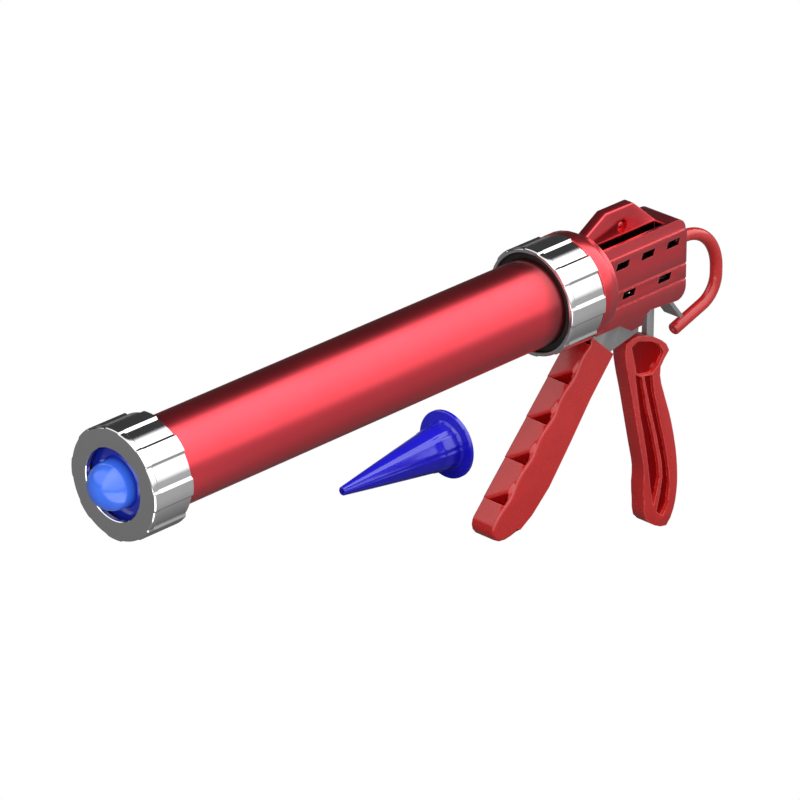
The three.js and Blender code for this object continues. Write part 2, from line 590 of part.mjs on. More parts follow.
function addRelease() {
  const { thickness, halfWidth, eyeRadius, kneeZ } = RELEASE;
  const tabEnd = releaseRear + RELEASE.tabReach;
  const shape = polygon([[releaseFront, eyeHeight], [releaseRear, eyeHeight], [releaseRear, kneeZ + 0.8],
    [tabEnd, kneeZ + 0.8 - RELEASE.tabDrop], [tabEnd - 2, kneeZ - 0.8 - RELEASE.tabDrop],
    [releaseFront, kneeZ]]);
  const middle = releaseFront + thickness / 2;
  const eye = crossPin(middle, eyeHeight, eyeRadius, -halfWidth, halfWidth, 14);
  const eyeHole = crossPin(middle, eyeHeight, RELEASE.pinRadius + RUNNING, -halfWidth - 1, halfWidth + 1);
  const wide = ROD_RADIUS + RUNNING + 0.3;
  const slot = join(rod(releaseFront - 5, releaseRear + 5, wide),
    block(releaseFront - 5, releaseRear + 5, -wide, wide, -RELEASE.slot, RELEASE.slot / 4));
  addPart('release_lever', cut(join(slab(shape, -halfWidth, halfWidth), eye), eyeHole, slot), greyMetal);
  const pin = crossPin(middle, eyeHeight, RELEASE.pinRadius, blindEnd + GAP, BODY.halfWidth - 0.5);
  addPart('release_pin', pin, steel);
  addPart('brake_spring', spring(bulkheadRear, releaseFront - 0.9, SPRING.turns - 1), springSteel);
}

// ---------- fixed handle ----------
// Front edge from the top down, then the rear edge from the heel up to the beak.
const GRIP_FRONT = [[-27.4, -53.2], [-28, -61], [-25.6, -74], [-21.7, -89], [-17.3, -108.2],
  [-12.8, -127.5],
  [-8.6, -146.8], [-9.2, -157.6], [-8.3, -168.8], [-6.6, -181]];
const GRIP_REAR = [[7.3, -191], [13.2, -192.2], [17.4, -187.5], [20.6, -180], [22.6, -168], [22.5,
  -156.8],
  [20.6, -141.1], [14.9, -117.3], [8.7, -99.4], [4.6, -86.1], [5, -78.5], [8.4, -74.4], [12.4, -70.8],
  [11.6, -67.4], [4.9, -60.9], [-3, -56.2], [-17, -51.4]];

// The two hollows down each side, which leave a rim all round and a rib between them.
const FRONT_POCKET = [[-18.6, -77], [-12.3, -80.5], [-7.6, -101.9], [-0.9, -123.9], [4.8, -145.7],
  [5.6, -155.9],
  [3.8, -165.3], [0.6, -174], [-2.4, -160.9], [-5, -144.1], [-8.5, -126], [-13, -107.7], [-16.7, -88.8]];
const REAR_POCKET = [[-10.4, -80.5], [-2.4, -82.4], [-0.8, -94.2], [5.2, -116], [11.1, -137.8],
  [14.6, -154],
  [15.6, -164.3], [14.3, -177.9], [9.7, -184.3], [3.6, -179.4], [6.8, -166.9], [8.5, -156.5], [7.7,
    -146.2],
  [2, -124.4], [-4.7, -102.4]];

// The wide mouth above them, which opens out under the grip's top edge.
const TOP_POCKET = [[-22.5, -57], [-18.8, -70], [-18, -76], [-12.3, -79.3], [-3, -80.8], [2.4,
  -77.5], [7, -71.5],
  [6.8, -68.6], [2.4, -62.6], [-4.5, -58.6], [-16.5, -54.8]];

function gripPoint([dx, z]) {
  return [handX + dx, z];
}

function addGrip() {
  const outline = smoothOutline([...GRIP_FRONT, ...GRIP_REAR].map(gripPoint), 56);
  const { recess } = GRIP;
  let shell = slab(outline, -gripHalf, gripHalf);
  const pockets = [FRONT_POCKET, REAR_POCKET, TOP_POCKET].map((points) => polygon(points.map(gripPoint)));
  for (const side of [-1, 1]) {
    const y0 = side < 0 ? -gripHalf - 1 : gripHalf - recess;
    const y1 = y0 + recess + 1;
    shell = cut(shell, ...pockets.map((pocket) => slab(pocket, y0, y1)));
  }
  const socket = coreOutline(GAP, 6);
  shell = cut(shell, slab(socket, -coreHalf - GAP, coreHalf + GAP));
  const screw = { x: coreX + CORE.screwAhead, z: GRIP.top - CORE.screwDrop };
  const screwStart = -gripHalf + recess + 1.3;
  const screwHole = crossPin(screw.x, screw.z, CORE.screwRadius + GAP, screwStart - GAP, gripHalf + 1);
  addPart('grip_shell', cut(shell, screwHole), redHandle);

  const coreHole = crossPin(screw.x, screw.z, CORE.screwRadius + GAP, -gripHalf, gripHalf);
  const pinHole = crossPin(coreX, CORE.pinZ, CORE.pinRadius + GAP, -gripHalf, gripHalf);
  const core = cut(slab(coreOutline(0, 0), -coreHalf, coreHalf), coreHole, pinHole);
  addPart('grip_core', core, greyMetal);
  const pinEnd = BODY.halfWidth - 0.5;
  addPart('core_pin', crossPin(coreX, CORE.pinZ, CORE.pinRadius, blindEnd + GAP, pinEnd), steel);
  addPart('grip_screw', crossPin(screw.x, screw.z, CORE.screwRadius, screwStart, gripHalf), steel);
}

// The core's narrow neck leaves the body and widens into the grip's socket.
function coreOutline(clearance, rise) {
  const x = coreX;
  const c = clearance;
  const foot = GRIP.top - CORE.socketDepth - c;
  return polygon([[x - 4.2 - c, rise ? GRIP.top + rise : -11], [x + 4.2 + c,
    rise ? GRIP.top + rise : -11],
    [x + 4.2 + c, -26], [x + 3.2 + c, -30], [x + 3.2 + c, GRIP.top], [x + 7 + c, GRIP.top - 8],
    [x + 5.2 + c, foot], [x - 7.4 - c, foot], [x - 9.5 - c, GRIP.top - 8], [x - 3.2 - c, GRIP.top],
    [x - 3.2 - c, -30], [x - 4.2 - c, -26]].filter((point) => !rise || point[1] < GRIP.top + rise + 1));
}

// ---------- loose nozzle ----------
function addNozzle() {
  const rear = nozzleRear;
  const tip = rear - NOZZLE.length;
  const flangeFace = rear - NOZZLE.flangeThickness;
  const coneStart = flangeFace - NOZZLE.baseLength;
  const outline = [[rear, NOZZLE.baseRadius - NOZZLE.wall], [rear, nozzleFlange],
    [flangeFace, nozzleFlange], [flangeFace, NOZZLE.baseRadius], [coneStart, NOZZLE.baseRadius - 0.6],
    [tip, NOZZLE.tipRadius], [tip, NOZZLE.tipHole], [coneStart, NOZZLE.baseRadius - NOZZLE.wall - 0.6]];
  const nozzle = turned(outline, 24).translate([0, NOZZLE_PLACE.y, NOZZLE_PLACE.floor + nozzleFlange]);
  addPart('nozzle', nozzle, deepBlue);
}

addFrontCap();
addBarrel();
addRearRing();
addBody();
addBushes();
addRod();
addPlunger();
addTriggerSleeve();
addTriggerLever();
addTriggerPins();
addDrive();
addRelease();
addGrip();
addNozzle();

export default gun;
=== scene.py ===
# %% [markdown]
# # A caulking gun, dressed part by part
# The frame already holds every solid of the gun in its true place and size. This lesson gives each
# of them the surface that a person sees: turned parts are spun afresh, cast parts get their soft
# edges, and each material gets its grain, its gloss, and lighter edges that are partly scuffing and
# partly a painted highlight; some stretches get a painted shade.
# All lengths on the bench are millimetres, measured from the centre of the front cap's face.

# %% Load the frame and keep its size
import json
import math
import bmesh
import bpy
from mathutils import Matrix, Vector


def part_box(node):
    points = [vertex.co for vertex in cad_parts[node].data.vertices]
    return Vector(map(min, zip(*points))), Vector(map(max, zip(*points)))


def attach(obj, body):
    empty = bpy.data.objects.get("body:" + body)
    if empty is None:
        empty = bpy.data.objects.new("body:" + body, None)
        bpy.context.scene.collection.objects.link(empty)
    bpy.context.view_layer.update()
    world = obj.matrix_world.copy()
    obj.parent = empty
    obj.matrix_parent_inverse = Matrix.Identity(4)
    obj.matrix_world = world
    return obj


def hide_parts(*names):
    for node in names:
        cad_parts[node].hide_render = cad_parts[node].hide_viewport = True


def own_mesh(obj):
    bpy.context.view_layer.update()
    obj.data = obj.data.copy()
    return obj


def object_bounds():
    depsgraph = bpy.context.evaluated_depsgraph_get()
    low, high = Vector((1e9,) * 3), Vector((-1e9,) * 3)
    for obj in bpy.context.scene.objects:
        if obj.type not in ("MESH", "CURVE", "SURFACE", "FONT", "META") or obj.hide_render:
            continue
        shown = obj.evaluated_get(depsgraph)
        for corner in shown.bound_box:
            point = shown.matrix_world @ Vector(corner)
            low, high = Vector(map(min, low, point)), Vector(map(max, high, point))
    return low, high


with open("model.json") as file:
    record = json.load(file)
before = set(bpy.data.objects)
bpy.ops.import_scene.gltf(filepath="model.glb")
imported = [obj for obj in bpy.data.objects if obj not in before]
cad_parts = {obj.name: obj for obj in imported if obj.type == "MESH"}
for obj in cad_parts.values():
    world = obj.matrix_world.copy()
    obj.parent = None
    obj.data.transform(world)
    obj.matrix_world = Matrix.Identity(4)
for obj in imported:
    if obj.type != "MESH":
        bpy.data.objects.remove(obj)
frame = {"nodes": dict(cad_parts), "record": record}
frame_low, frame_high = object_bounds()
print("frame", [round(v, 4) for v in frame_high - frame_low])

# %% [markdown]
# ## The bench
# Round parts are easiest to draw round the barrel's axis, so the bench has its origin in the middle
# of the cap's face, X along the barrel and Z up. One matrix carries a finished mesh from the bench
# to the frame, and its inverse brings a frame part to the bench.

# %% Bench units
MM = 0.001
cap_low, cap_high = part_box("front_cap")
face_centre = Vector((cap_low.x, 0.0, (cap_low.z + cap_high.z) / 2))
TO_FRAME = Matrix.Translation(face_centre) @ Matrix.Scale(MM, 4)
TO_BENCH = TO_FRAME.inverted()
BODY_OF = {node: body for body, nodes in frame["record"]["behaviour"]["bodies"].items() for node in nodes}


def extent(node):
    """Lowest and highest corner of a frame part, in bench millimetres."""
    low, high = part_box(node)
    return TO_BENCH @ low, TO_BENCH @ high


print("gun length", round(extent("hook_rod")[1].x, 1), "mm")

# %% [markdown]
# ## Camera
# The camera stands at the front left and a little above. Its long lens keeps the barrel's two sides
# nearly parallel, as in a catalogue view.

# %% Camera
VIEW_AZIMUTH = math.radians(-45.79)
VIEW_ELEVATION = math.radians(25.48)
LENS = 270.0
SENSOR_WIDTH = 36.0
CAMERA_ON_BENCH = Vector((-2068.39, -2239.02, 1503.81))


def look_from(azimuth, elevation):
    """The camera's turn for a view from that azimuth and elevation, as a matrix."""
    back = Vector((math.sin(azimuth) * math.cos(elevation),
                   -math.cos(azimuth) * math.cos(elevation), math.sin(elevation)))
    right = Vector((math.cos(azimuth), math.sin(azimuth), 0.0))
    return Matrix((right, back.cross(right), back)).transposed().to_4x4()


camera_data = bpy.data.cameras.new("camera")
camera_data.lens = LENS
camera_data.sensor_width = SENSOR_WIDTH
camera_data.clip_end = 50.0
camera = bpy.data.objects.new("camera", camera_data)
stand = Matrix.Translation(TO_FRAME @ CAMERA_ON_BENCH)
camera.matrix_world = stand @ look_from(VIEW_AZIMUTH, VIEW_ELEVATION)
bpy.context.collection.objects.link(camera)
bpy.context.scene.camera = camera
print("camera", [round(v, 3) for v in camera.location])

# %% [markdown]
# ## Studio light
# Polished metal shows its surroundings, so the light is drawn as a studio. One long white softbox
# runs parallel to the barrel, from the horizon on the near side to a little past overhead. A second
# one stands high up beyond the cap and lights whatever faces forwards. The rest of the room is dim.
# The strength of the sky is worked out from each direction: its angle round the X axis, and its parts
# along X and Z. A few helpers for nodes come first.

# %% Node helpers
def add_node(tree, kind, **settings):
    made = tree.nodes.new(kind)
    for name, value in settings.items():
        setattr(made, name, value)
    return made


def math_node(tree, operation, first, second=None):
    """A Math node whose inputs are sockets or plain numbers. Gives its output socket."""
    made = add_node(tree, "ShaderNodeMath", operation=operation)
    for slot, value in enumerate((first, second)):
        if isinstance(value, bpy.types.NodeSocket):
            tree.links.new(value, made.inputs[slot])
        elif value is not None:
            made.inputs[slot].default_value = value
    return made.outputs[0]


def soft_step(tree, value, start, end):
    """Changes smoothly from 0 to 1 as value goes from start to end."""
    made = add_node(tree, "ShaderNodeMapRange", interpolation_type="SMOOTHSTEP")
    tree.links.new(value, made.inputs["Value"])
    if start > end:
        made.inputs["To Min"].default_value = 1.0
        made.inputs["To Max"].default_value = 0.0
    made.inputs["From Min"].default_value = min(start, end)
    made.inputs["From Max"].default_value = max(start, end)
    return made.outputs["Result"]


print("node helpers ready")

# %% [markdown]
# The sky is the brighter of the two softboxes and the room in each direction. The camera itself sees
# a plain white wall behind the gun.

# %% Studio light
SOFTBOX_START = 2.0  # degrees round X, from straight ahead of the gun's near side, upwards
SOFTBOX_END = 98.0
SOFTBOX_EDGE = 8.0
SOFTBOX_LIGHT = 1.6
GAIN_TURN = (10.0, 70.0)  # the turn over which the softbox gets brighter
OVERHEAD_GAIN = 0.7  # how much brighter the softbox is overhead than at the horizon
END_LIGHT = 1.35
END_AHEAD = (-0.08, -0.3)  # parts along X over which the end softbox sets in
END_ABOVE = (0.15, 0.4)  # and the same along Z
ROOM_LIGHT = 0.06

world = bpy.data.worlds.new("studio")
bpy.context.scene.world = world
world.use_nodes = True
sky = world.node_tree
sky.nodes.clear()
direction = add_node(sky, "ShaderNodeSeparateXYZ")
sky.links.new(add_node(sky, "ShaderNodeTexCoord").outputs["Generated"], direction.inputs[0])
ahead = math_node(sky, "MULTIPLY", direction.outputs["Y"], -1.0)
turn = math_node(sky, "DEGREES", math_node(sky, "ARCTAN2", direction.outputs["Z"], ahead))
opening = soft_step(sky, turn, SOFTBOX_START - SOFTBOX_EDGE, SOFTBOX_START + SOFTBOX_EDGE)
closing = soft_step(sky, turn, SOFTBOX_END + SOFTBOX_EDGE, SOFTBOX_END - SOFTBOX_EDGE)
gain = math_node(sky, "MULTIPLY", soft_step(sky, turn, *GAIN_TURN), OVERHEAD_GAIN)
panel = math_node(sky, "MULTIPLY", math_node(sky, "ADD", gain, 1.0), SOFTBOX_LIGHT)
long_box = math_node(sky, "MULTIPLY", math_node(sky, "MULTIPLY", opening, closing), panel)
beyond_cap = soft_step(sky, direction.outputs["X"], *END_AHEAD)
high_up = soft_step(sky, direction.outputs["Z"], *END_ABOVE)
end_box = math_node(sky, "MULTIPLY", math_node(sky, "MULTIPLY", beyond_cap, high_up), END_LIGHT)
boxes = math_node(sky, "MAXIMUM", long_box, end_box)
studio = add_node(sky, "ShaderNodeBackground")
sky.links.new(math_node(sky, "MAXIMUM", boxes, ROOM_LIGHT), studio.inputs["Strength"])
white_wall = add_node(sky, "ShaderNodeBackground")
to_camera = add_node(sky, "ShaderNodeMixShader")
sky.links.new(add_node(sky, "ShaderNodeLightPath").outputs["Is Camera Ray"], to_camera.inputs["Fac"])
sky.links.new(studio.outputs[0], to_camera.inputs[1])
sky.links.new(white_wall.outputs[0], to_camera.inputs[2])
white_wall.inputs["Color"].default_value = (1, 1, 1, 1)
sky.links.new(to_camera.outputs[0], add_node(sky, "ShaderNodeOutputWorld").inputs["Surface"])
bpy.context.scene.view_settings.view_transform = "Standard"
print("softboxes", SOFTBOX_LIGHT, END_LIGHT)

# %% [markdown]
# ## Floor
# The gun is shown on white paper. The paper glows for the camera, so it stays white under the gun,
# and is matt grey for everything that mirrors it, with a painted shade that makes it darker under the
# gun and beyond it. A white card lies on it, forward and to the near side: it fills the front rims
# and every soft edge from below.

# %% Floor and fill card
FLOOR_SIZE = 60.0
PAPER_GREY = (0.30, 0.10)  # on the near side, and darker as a painted shade under the gun and beyond
PAPER_CHANGE = (-0.35, 0.06)  # the places along Y between which the paper gets darker
CARD_SIZE = (1.1, 0.9)
CARD_CENTRE = (-0.93, -0.57)
CARD_GREY = (0.8, 0.8)
CARD_LIGHT = 1.1
JUST_BELOW = 0.0005
SHEET_GAP = 0.0002


def flat_sheet(name, size_x, size_y, centre):
    """A flat sheet that lies level, as a stage piece."""
    bm = bmesh.new()
    bmesh.ops.create_grid(bm, x_segments=1, y_segments=1, size=1.0)
    bmesh.ops.scale(bm, vec=(size_x / 2, size_y / 2, 1), verts=bm.verts)
    bmesh.ops.translate(bm, vec=centre, verts=bm.verts)
    mesh = bpy.data.meshes.new(name)
    bm.to_mesh(mesh)
    bm.free()
    sheet = bpy.data.objects.new(name, mesh)
    bpy.context.collection.objects.link(sheet)
    return sheet


def white_for_camera(name, near_grey, far_grey, light):
    """A matt grey that shines with a given light, and looks pure white to the camera."""
    material = bpy.data.materials.new(name)
    material.use_nodes = True
    tree = material.node_tree
    matt = tree.nodes["Principled BSDF"]
    across = add_node(tree, "ShaderNodeSeparateXYZ")
    tree.links.new(add_node(tree, "ShaderNodeTexCoord").outputs["Object"], across.inputs[0])
    # Painted shade: the grey darkens along Y, under the gun and beyond it.
    shade = add_node(tree, "ShaderNodeMapRange", interpolation_type="SMOOTHSTEP")
    shade.inputs["From Min"].default_value = PAPER_CHANGE[0]
    shade.inputs["From Max"].default_value = PAPER_CHANGE[1]
    shade.inputs["To Min"].default_value = near_grey
    shade.inputs["To Max"].default_value = far_grey
    tree.links.new(across.outputs["Y"], shade.inputs["Value"])
    tree.links.new(shade.outputs["Result"], matt.inputs["Base Color"])
    matt.inputs["Roughness"].default_value = 0.9
    matt.inputs["Emission Color"].default_value = (1, 1, 1, 1)
    matt.inputs["Emission Strength"].default_value = light
    glow = add_node(tree, "ShaderNodeEmission")
    blend = add_node(tree, "ShaderNodeMixShader")
    tree.links.new(add_node(tree, "ShaderNodeLightPath").outputs["Is Camera Ray"], blend.inputs["Fac"])
    tree.links.new(matt.outputs[0], blend.inputs[1])
    tree.links.new(glow.outputs[0], blend.inputs[2])
    tree.links.new(blend.outputs[0], tree.nodes["Material Output"].inputs["Surface"])
    return material


floor_height = frame_low.z - JUST_BELOW
floor = flat_sheet("floor", FLOOR_SIZE, FLOOR_SIZE, (0, 0, floor_height))
floor.data.materials.append(white_for_camera("paper", *PAPER_GREY, 0.0))
card = flat_sheet("fill_card", *CARD_SIZE, (*CARD_CENTRE, floor_height + SHEET_GAP))
card.data.materials.append(white_for_camera("card", *CARD_GREY, CARD_LIGHT))
print("floor at", round(floor_height, 4))

# %% [markdown]
# ## Effects that several finishes share
# Three small node groups do most of the work. **Grain** is fine noise that can be stretched along
# one direction, for drawn or turned metal and for orange peel in paint. **Mottle** is broad, slow
# noise that keeps any finish from being one flat tone. **Edge highlight and scuffing** compares the
# true normal with a rounded one: the two differ only near an edge, and noise breaks that line up. Its
# lighter edge tone is partly scuffed paint and partly a painted highlight along every ledge and rib.

# %% Shared node groups
def new_group(name, inputs, output):
    """A shader node group. inputs is a list of (name, socket kind, default), output one name."""
    group = bpy.data.node_groups.new(name, "ShaderNodeTree")
    for label, kind, value in inputs:
        socket = group.interface.new_socket(name=label, in_out="INPUT", socket_type=kind)
        socket.default_value = value
    group.interface.new_socket(name=output, in_out="OUTPUT", socket_type="NodeSocketFloat")
    return group, add_node(group, "NodeGroupInput"), add_node(group, "NodeGroupOutput")


grain_group, given, result = new_group("Grain", [
    ("Scale", "NodeSocketFloat", 900.0), ("Stretch", "NodeSocketVector", (1, 1, 1))], "Height")
stretched = add_node(grain_group, "ShaderNodeVectorMath", operation="MULTIPLY")
grain_place = add_node(grain_group, "ShaderNodeTexCoord")
grain_group.links.new(grain_place.outputs["Object"], stretched.inputs[0])
grain_group.links.new(given.outputs["Stretch"], stretched.inputs[1])
fine = add_node(grain_group, "ShaderNodeTexNoise")
fine.inputs["Detail"].default_value = 3.0
grain_group.links.new(stretched.outputs[0], fine.inputs["Vector"])
grain_group.links.new(given.outputs["Scale"], fine.inputs["Scale"])
grain_group.links.new(fine.outputs["Fac"], result.inputs["Height"])

mottle_group, given, result = new_group("Mottle", [("Scale", "NodeSocketFloat", 40.0)], "Value")
broad = add_node(mottle_group, "ShaderNodeTexNoise")
broad.inputs["Detail"].default_value = 4.0
broad.inputs["Roughness"].default_value = 0.6
mottle_place = add_node(mottle_group, "ShaderNodeTexCoord")
mottle_group.links.new(mottle_place.outputs["Object"], broad.inputs["Vector"])
mottle_group.links.new(given.outputs["Scale"], broad.inputs["Scale"])
mottle_group.links.new(soft_step(mottle_group, broad.outputs["Fac"], 0.3, 0.7), result.inputs["Value"])

# Lighter edges: partly scuffing, partly a painted highlight along every ledge and rib.
edge_highlight_and_wear_group, given, result = new_group("Edge highlight and scuffing", [
    ("Width", "NodeSocketFloat", 0.0006), ("Amount", "NodeSocketFloat", 1.0)], "Mask")
rounded = add_node(edge_highlight_and_wear_group, "ShaderNodeBevel", samples=4)
edge_highlight_and_wear_group.links.new(given.outputs["Width"], rounded.inputs["Radius"])
likeness = add_node(edge_highlight_and_wear_group, "ShaderNodeVectorMath", operation="DOT_PRODUCT")
edge_highlight_and_wear_group.links.new(rounded.outputs["Normal"], likeness.inputs[0])
true_facing = add_node(edge_highlight_and_wear_group, "ShaderNodeNewGeometry")
edge_highlight_and_wear_group.links.new(true_facing.outputs["Normal"], likeness.inputs[1])
edge = soft_step(edge_highlight_and_wear_group, likeness.outputs["Value"], 0.995, 0.9)
edge_breakup = add_node(edge_highlight_and_wear_group, "ShaderNodeTexNoise")
edge_breakup.inputs["Scale"].default_value = 260.0
edge_place = add_node(edge_highlight_and_wear_group, "ShaderNodeTexCoord")
edge_highlight_and_wear_group.links.new(edge_place.outputs["Object"], edge_breakup.inputs["Vector"])
broken = math_node(edge_highlight_and_wear_group, "MULTIPLY", edge, soft_step(edge_highlight_and_wear_group, edge_breakup.outputs["Fac"], 0.3, 0.6))
mask = math_node(edge_highlight_and_wear_group, "MULTIPLY", broken, given.outputs["Amount"])
edge_highlight_and_wear_group.links.new(mask, result.inputs["Mask"])
print("groups", sorted(g.name for g in bpy.data.node_groups))

# %% [markdown]
# ## Finishes
# One recipe builds every finish from the same few facts: two tones that the mottle mixes, a range of
# roughness, the grain and how deep it is cut, the lighter tone at the edges, which is partly scuffing
# and partly a painted highlight, and a clear coat. Numbers that don't vary over the surface sit on the
# shader's own sockets.

# %% The recipe
def finish(name, tones, roughness, metallic=0.0, grain=(900.0, (1, 1, 1)), cut=0.05, worn_and_lit=None,
           wear_and_highlight=(0.0006, 0.6), coat=(0.0, 0.1), mottle=40.0, zone=None):
    """A procedural material. tones and roughness are pairs, grain is (scale, stretch).
    zone is (tone, mask maker): another tone where the mask is 1. A candy zone is (tone, mask maker,
    True): the tone shines like metal there, with no clear coat, as a painted shade."""
    material = bpy.data.materials.new(name)
    material.use_nodes = True
    tree = material.node_tree
    shader = tree.nodes["Principled BSDF"]
    shader.inputs["Metallic"].default_value = metallic
    shader.inputs["Coat Weight"].default_value = coat[0]
    shader.inputs["Coat Roughness"].default_value = coat[1]
    clouds = add_node(tree, "ShaderNodeGroup", node_tree=mottle_group)
    clouds.inputs["Scale"].default_value = mottle

    def tint(below, above, mask):
        mix = add_node(tree, "ShaderNodeMix", data_type="RGBA")
        for label, value in (("A", below), ("B", above)):
            if isinstance(value, bpy.types.NodeSocket):
                tree.links.new(value, mix.inputs[label])
            else:
                mix.inputs[label].default_value = (*value, 1)
        tree.links.new(mask, mix.inputs["Factor"])
        return mix.outputs["Result"]

    shown = tint(tones[0], tones[1], clouds.outputs["Value"])
    if zone:
        mask = zone[1](tree)
        shown = tint(shown, zone[0], mask)
        # A candy zone paints shade: a metal-like tone with no clear coat.
        if len(zone) > 2:
            bare = math_node(tree, "SUBTRACT", 1.0, mask)
            tree.links.new(math_node(tree, "MULTIPLY", bare, coat[0]), shader.inputs["Coat Weight"])
            zone_metal = math_node(tree, "MULTIPLY", mask, 1.0 - metallic)
            tree.links.new(math_node(tree, "ADD", zone_metal, metallic), shader.inputs["Metallic"])
    # Lighter edges: partly scuffing, partly a painted highlight.
    if worn_and_lit:
        edges = add_node(tree, "ShaderNodeGroup", node_tree=edge_highlight_and_wear_group)
        edges.inputs["Width"].default_value = wear_and_highlight[0]
        edges.inputs["Amount"].default_value = wear_and_highlight[1]
        shown = tint(shown, worn_and_lit, edges.outputs["Mask"])
    tree.links.new(shown, shader.inputs["Base Color"])
    surface = add_node(tree, "ShaderNodeGroup", node_tree=grain_group)
    surface.inputs["Scale"].default_value = grain[0]
    surface.inputs["Stretch"].default_value = grain[1]
    spread = add_node(tree, "ShaderNodeMapRange")
    mixed = math_node(tree, "ADD", math_node(tree, "MULTIPLY", clouds.outputs["Value"], 0.6),
                      math_node(tree, "MULTIPLY", surface.outputs["Height"], 0.4))
    tree.links.new(mixed, spread.inputs["Value"])
    spread.inputs["To Min"].default_value = roughness[0]
    spread.inputs["To Max"].default_value = roughness[1]
    tree.links.new(spread.outputs["Result"], shader.inputs["Roughness"])
    bump = add_node(tree, "ShaderNodeBump")
    bump.inputs["Strength"].default_value = cut
    bump.inputs["Distance"].default_value = 0.0002
    tree.links.new(surface.outputs["Height"], bump.inputs["Height"])
    tree.links.new(bump.outputs["Normal"], shader.inputs["Normal"])
    return material


print("recipe ready")

# %% [markdown]
# A zone is a stretch of a piece that has another tone; apart from the cap's face, every zone here is
# a painted shade. Each zone is a mask, worked out from the place of a point in the frame, so it stays
# on its feature whatever the piece's mesh is like.

# %% Masks for the zones
FACE_EDGE = (0.0005, 0.0003)
DOME_FOOT = (0.001, 0.006)


def place_axis(tree, axis):
    """One part of the Object coordinates, in metres."""
    parts = add_node(tree, "ShaderNodeSeparateXYZ")
    tree.links.new(add_node(tree, "ShaderNodeTexCoord").outputs["Object"], parts.inputs[0])
    return parts.outputs[axis]


def cap_face_mask(tree):
    """1 on the cap's flat face, which is faced on a lathe and left satin."""
    start, end = (cap_low.x + depth for depth in FACE_EDGE)
    return soft_step(tree, place_axis(tree, "X"), start, end)


def disc_shade_mask(tree):
    """1 from the foot of the plunger's dome backwards, where the disc inside the cap gets a painted shade.
    """
    start, end = (cap_low.x + depth for depth in DOME_FOOT)
    return soft_step(tree, place_axis(tree, "X"), start, end)


BARREL_END = (-0.018, -0.001)  # from the ring's front, where a painted shade darkens the barrel
ring_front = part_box("rear_ring")[0].x


def barrel_end_shade_mask(tree):
    """1 where the barrel nears the rear ring, where a painted shade darkens it."""
    start, end = (ring_front + offset for offset in BARREL_END)
    return soft_step(tree, place_axis(tree, "X"), start, end)


WALL_SKIN = 0.0007
INNER_WALL = (0.0130, 0.0126)
UNDER_DECK = (0.0221, 0.0212)
SLOTS_TOP = (0.0105, 0.0095)
SLOTS_FOOT = (-0.0192, -0.0182)
BODY_HALF = 0.016
body_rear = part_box("body_housing")[1].x


def inside_shade_mask(tree):
    """1 on the body's inner walls and in its slots, where a painted shade makes the casting near black."""
    sideways = math_node(tree, "ABSOLUTE", place_axis(tree, "Y"))
    height = math_node(tree, "SUBTRACT", place_axis(tree, "Z"), face_centre.z)
    under_deck = soft_step(tree, height, *UNDER_DECK)
    inner = math_node(tree, "MULTIPLY", under_deck, soft_step(tree, sideways, *INNER_WALL))
    beside_slots = math_node(tree, "MULTIPLY", soft_step(tree, height, *SLOTS_TOP),
                             soft_step(tree, height, *SLOTS_FOOT))
    in_wall = soft_step(tree, sideways, BODY_HALF - WALL_SKIN, BODY_HALF - 1.6 * WALL_SKIN)
    slots = math_node(tree, "MULTIPLY", beside_slots, in_wall)
    in_front = soft_step(tree, place_axis(tree, "X"), body_rear - WALL_SKIN, body_rear - 2 * WALL_SKIN)
    return math_node(tree, "MULTIPLY", math_node(tree, "MAXIMUM", inner, slots), in_front)


HOLLOW_DEPTH = (0.0006, 0.0012)
grip_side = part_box("grip_shell")[1].y


def hollow_shade_mask(tree):
    """1 on the floors of the grip's side hollows, which get a painted shade."""
    facing = add_node(tree, "ShaderNodeSeparateXYZ")
    tree.links.new(add_node(tree, "ShaderNodeTexCoord").outputs["Normal"], facing.inputs[0])
    flat = soft_step(tree, math_node(tree, "ABSOLUTE", facing.outputs["Y"]), 0.5, 0.8)
    sideways = math_node(tree, "ABSOLUTE", place_axis(tree, "Y"))
    start, end = (grip_side - depth for depth in HOLLOW_DEPTH)
    return math_node(tree, "MULTIPLY", flat, soft_step(tree, sideways, start, end))


# The two ends of the sleeve's straight front line, on the bench, and the ways along it and into it.
SLEEVE_FOOT = Vector((305.4, 0.0, -133.5))
SLEEVE_TOP = Vector((392.9, 0.0, -36.3))
SLEEVE_LENGTH = (SLEEVE_TOP - SLEEVE_FOOT).length
SLEEVE_UP = (SLEEVE_TOP - SLEEVE_FOOT).normalized()
SLEEVE_IN = Vector((SLEEVE_UP.z, 0.0, -SLEEVE_UP.x))
SCOOP_DEPTH = (0.0008, 0.0016)
RAIL_EDGE = (-0.0068, -0.0058)
FOOT_HEIGHT = (0.006, 0.010)


def reach_along(tree, way):
    """How far a place lies from the sleeve's foot along a way, in metres."""
    reach = add_node(tree, "ShaderNodeVectorMath", operation="DOT_PRODUCT")
    tree.links.new(add_node(tree, "ShaderNodeTexCoord").outputs["Object"], reach.inputs[0])
    reach.inputs[1].default_value = way
    return math_node(tree, "SUBTRACT", reach.outputs["Value"], (TO_FRAME @ SLEEVE_FOOT).dot(way))


def finger_shade_mask(tree):
    """1 in the scoops of the sleeve's front, by their depth behind its straight front line: a painted
    shade.
    """
    deep = soft_step(tree, reach_along(tree, SLEEVE_IN), *SCOOP_DEPTH)
    off_rail = soft_step(tree, place_axis(tree, "Y"), *RAIL_EDGE)
    above_foot = soft_step(tree, reach_along(tree, SLEEVE_UP), *FOOT_HEIGHT)
    return math_node(tree, "MULTIPLY", math_node(tree, "MULTIPLY", deep, off_rail), above_foot)


print("sleeve front", round(SLEEVE_LENGTH, 1), "mm long")
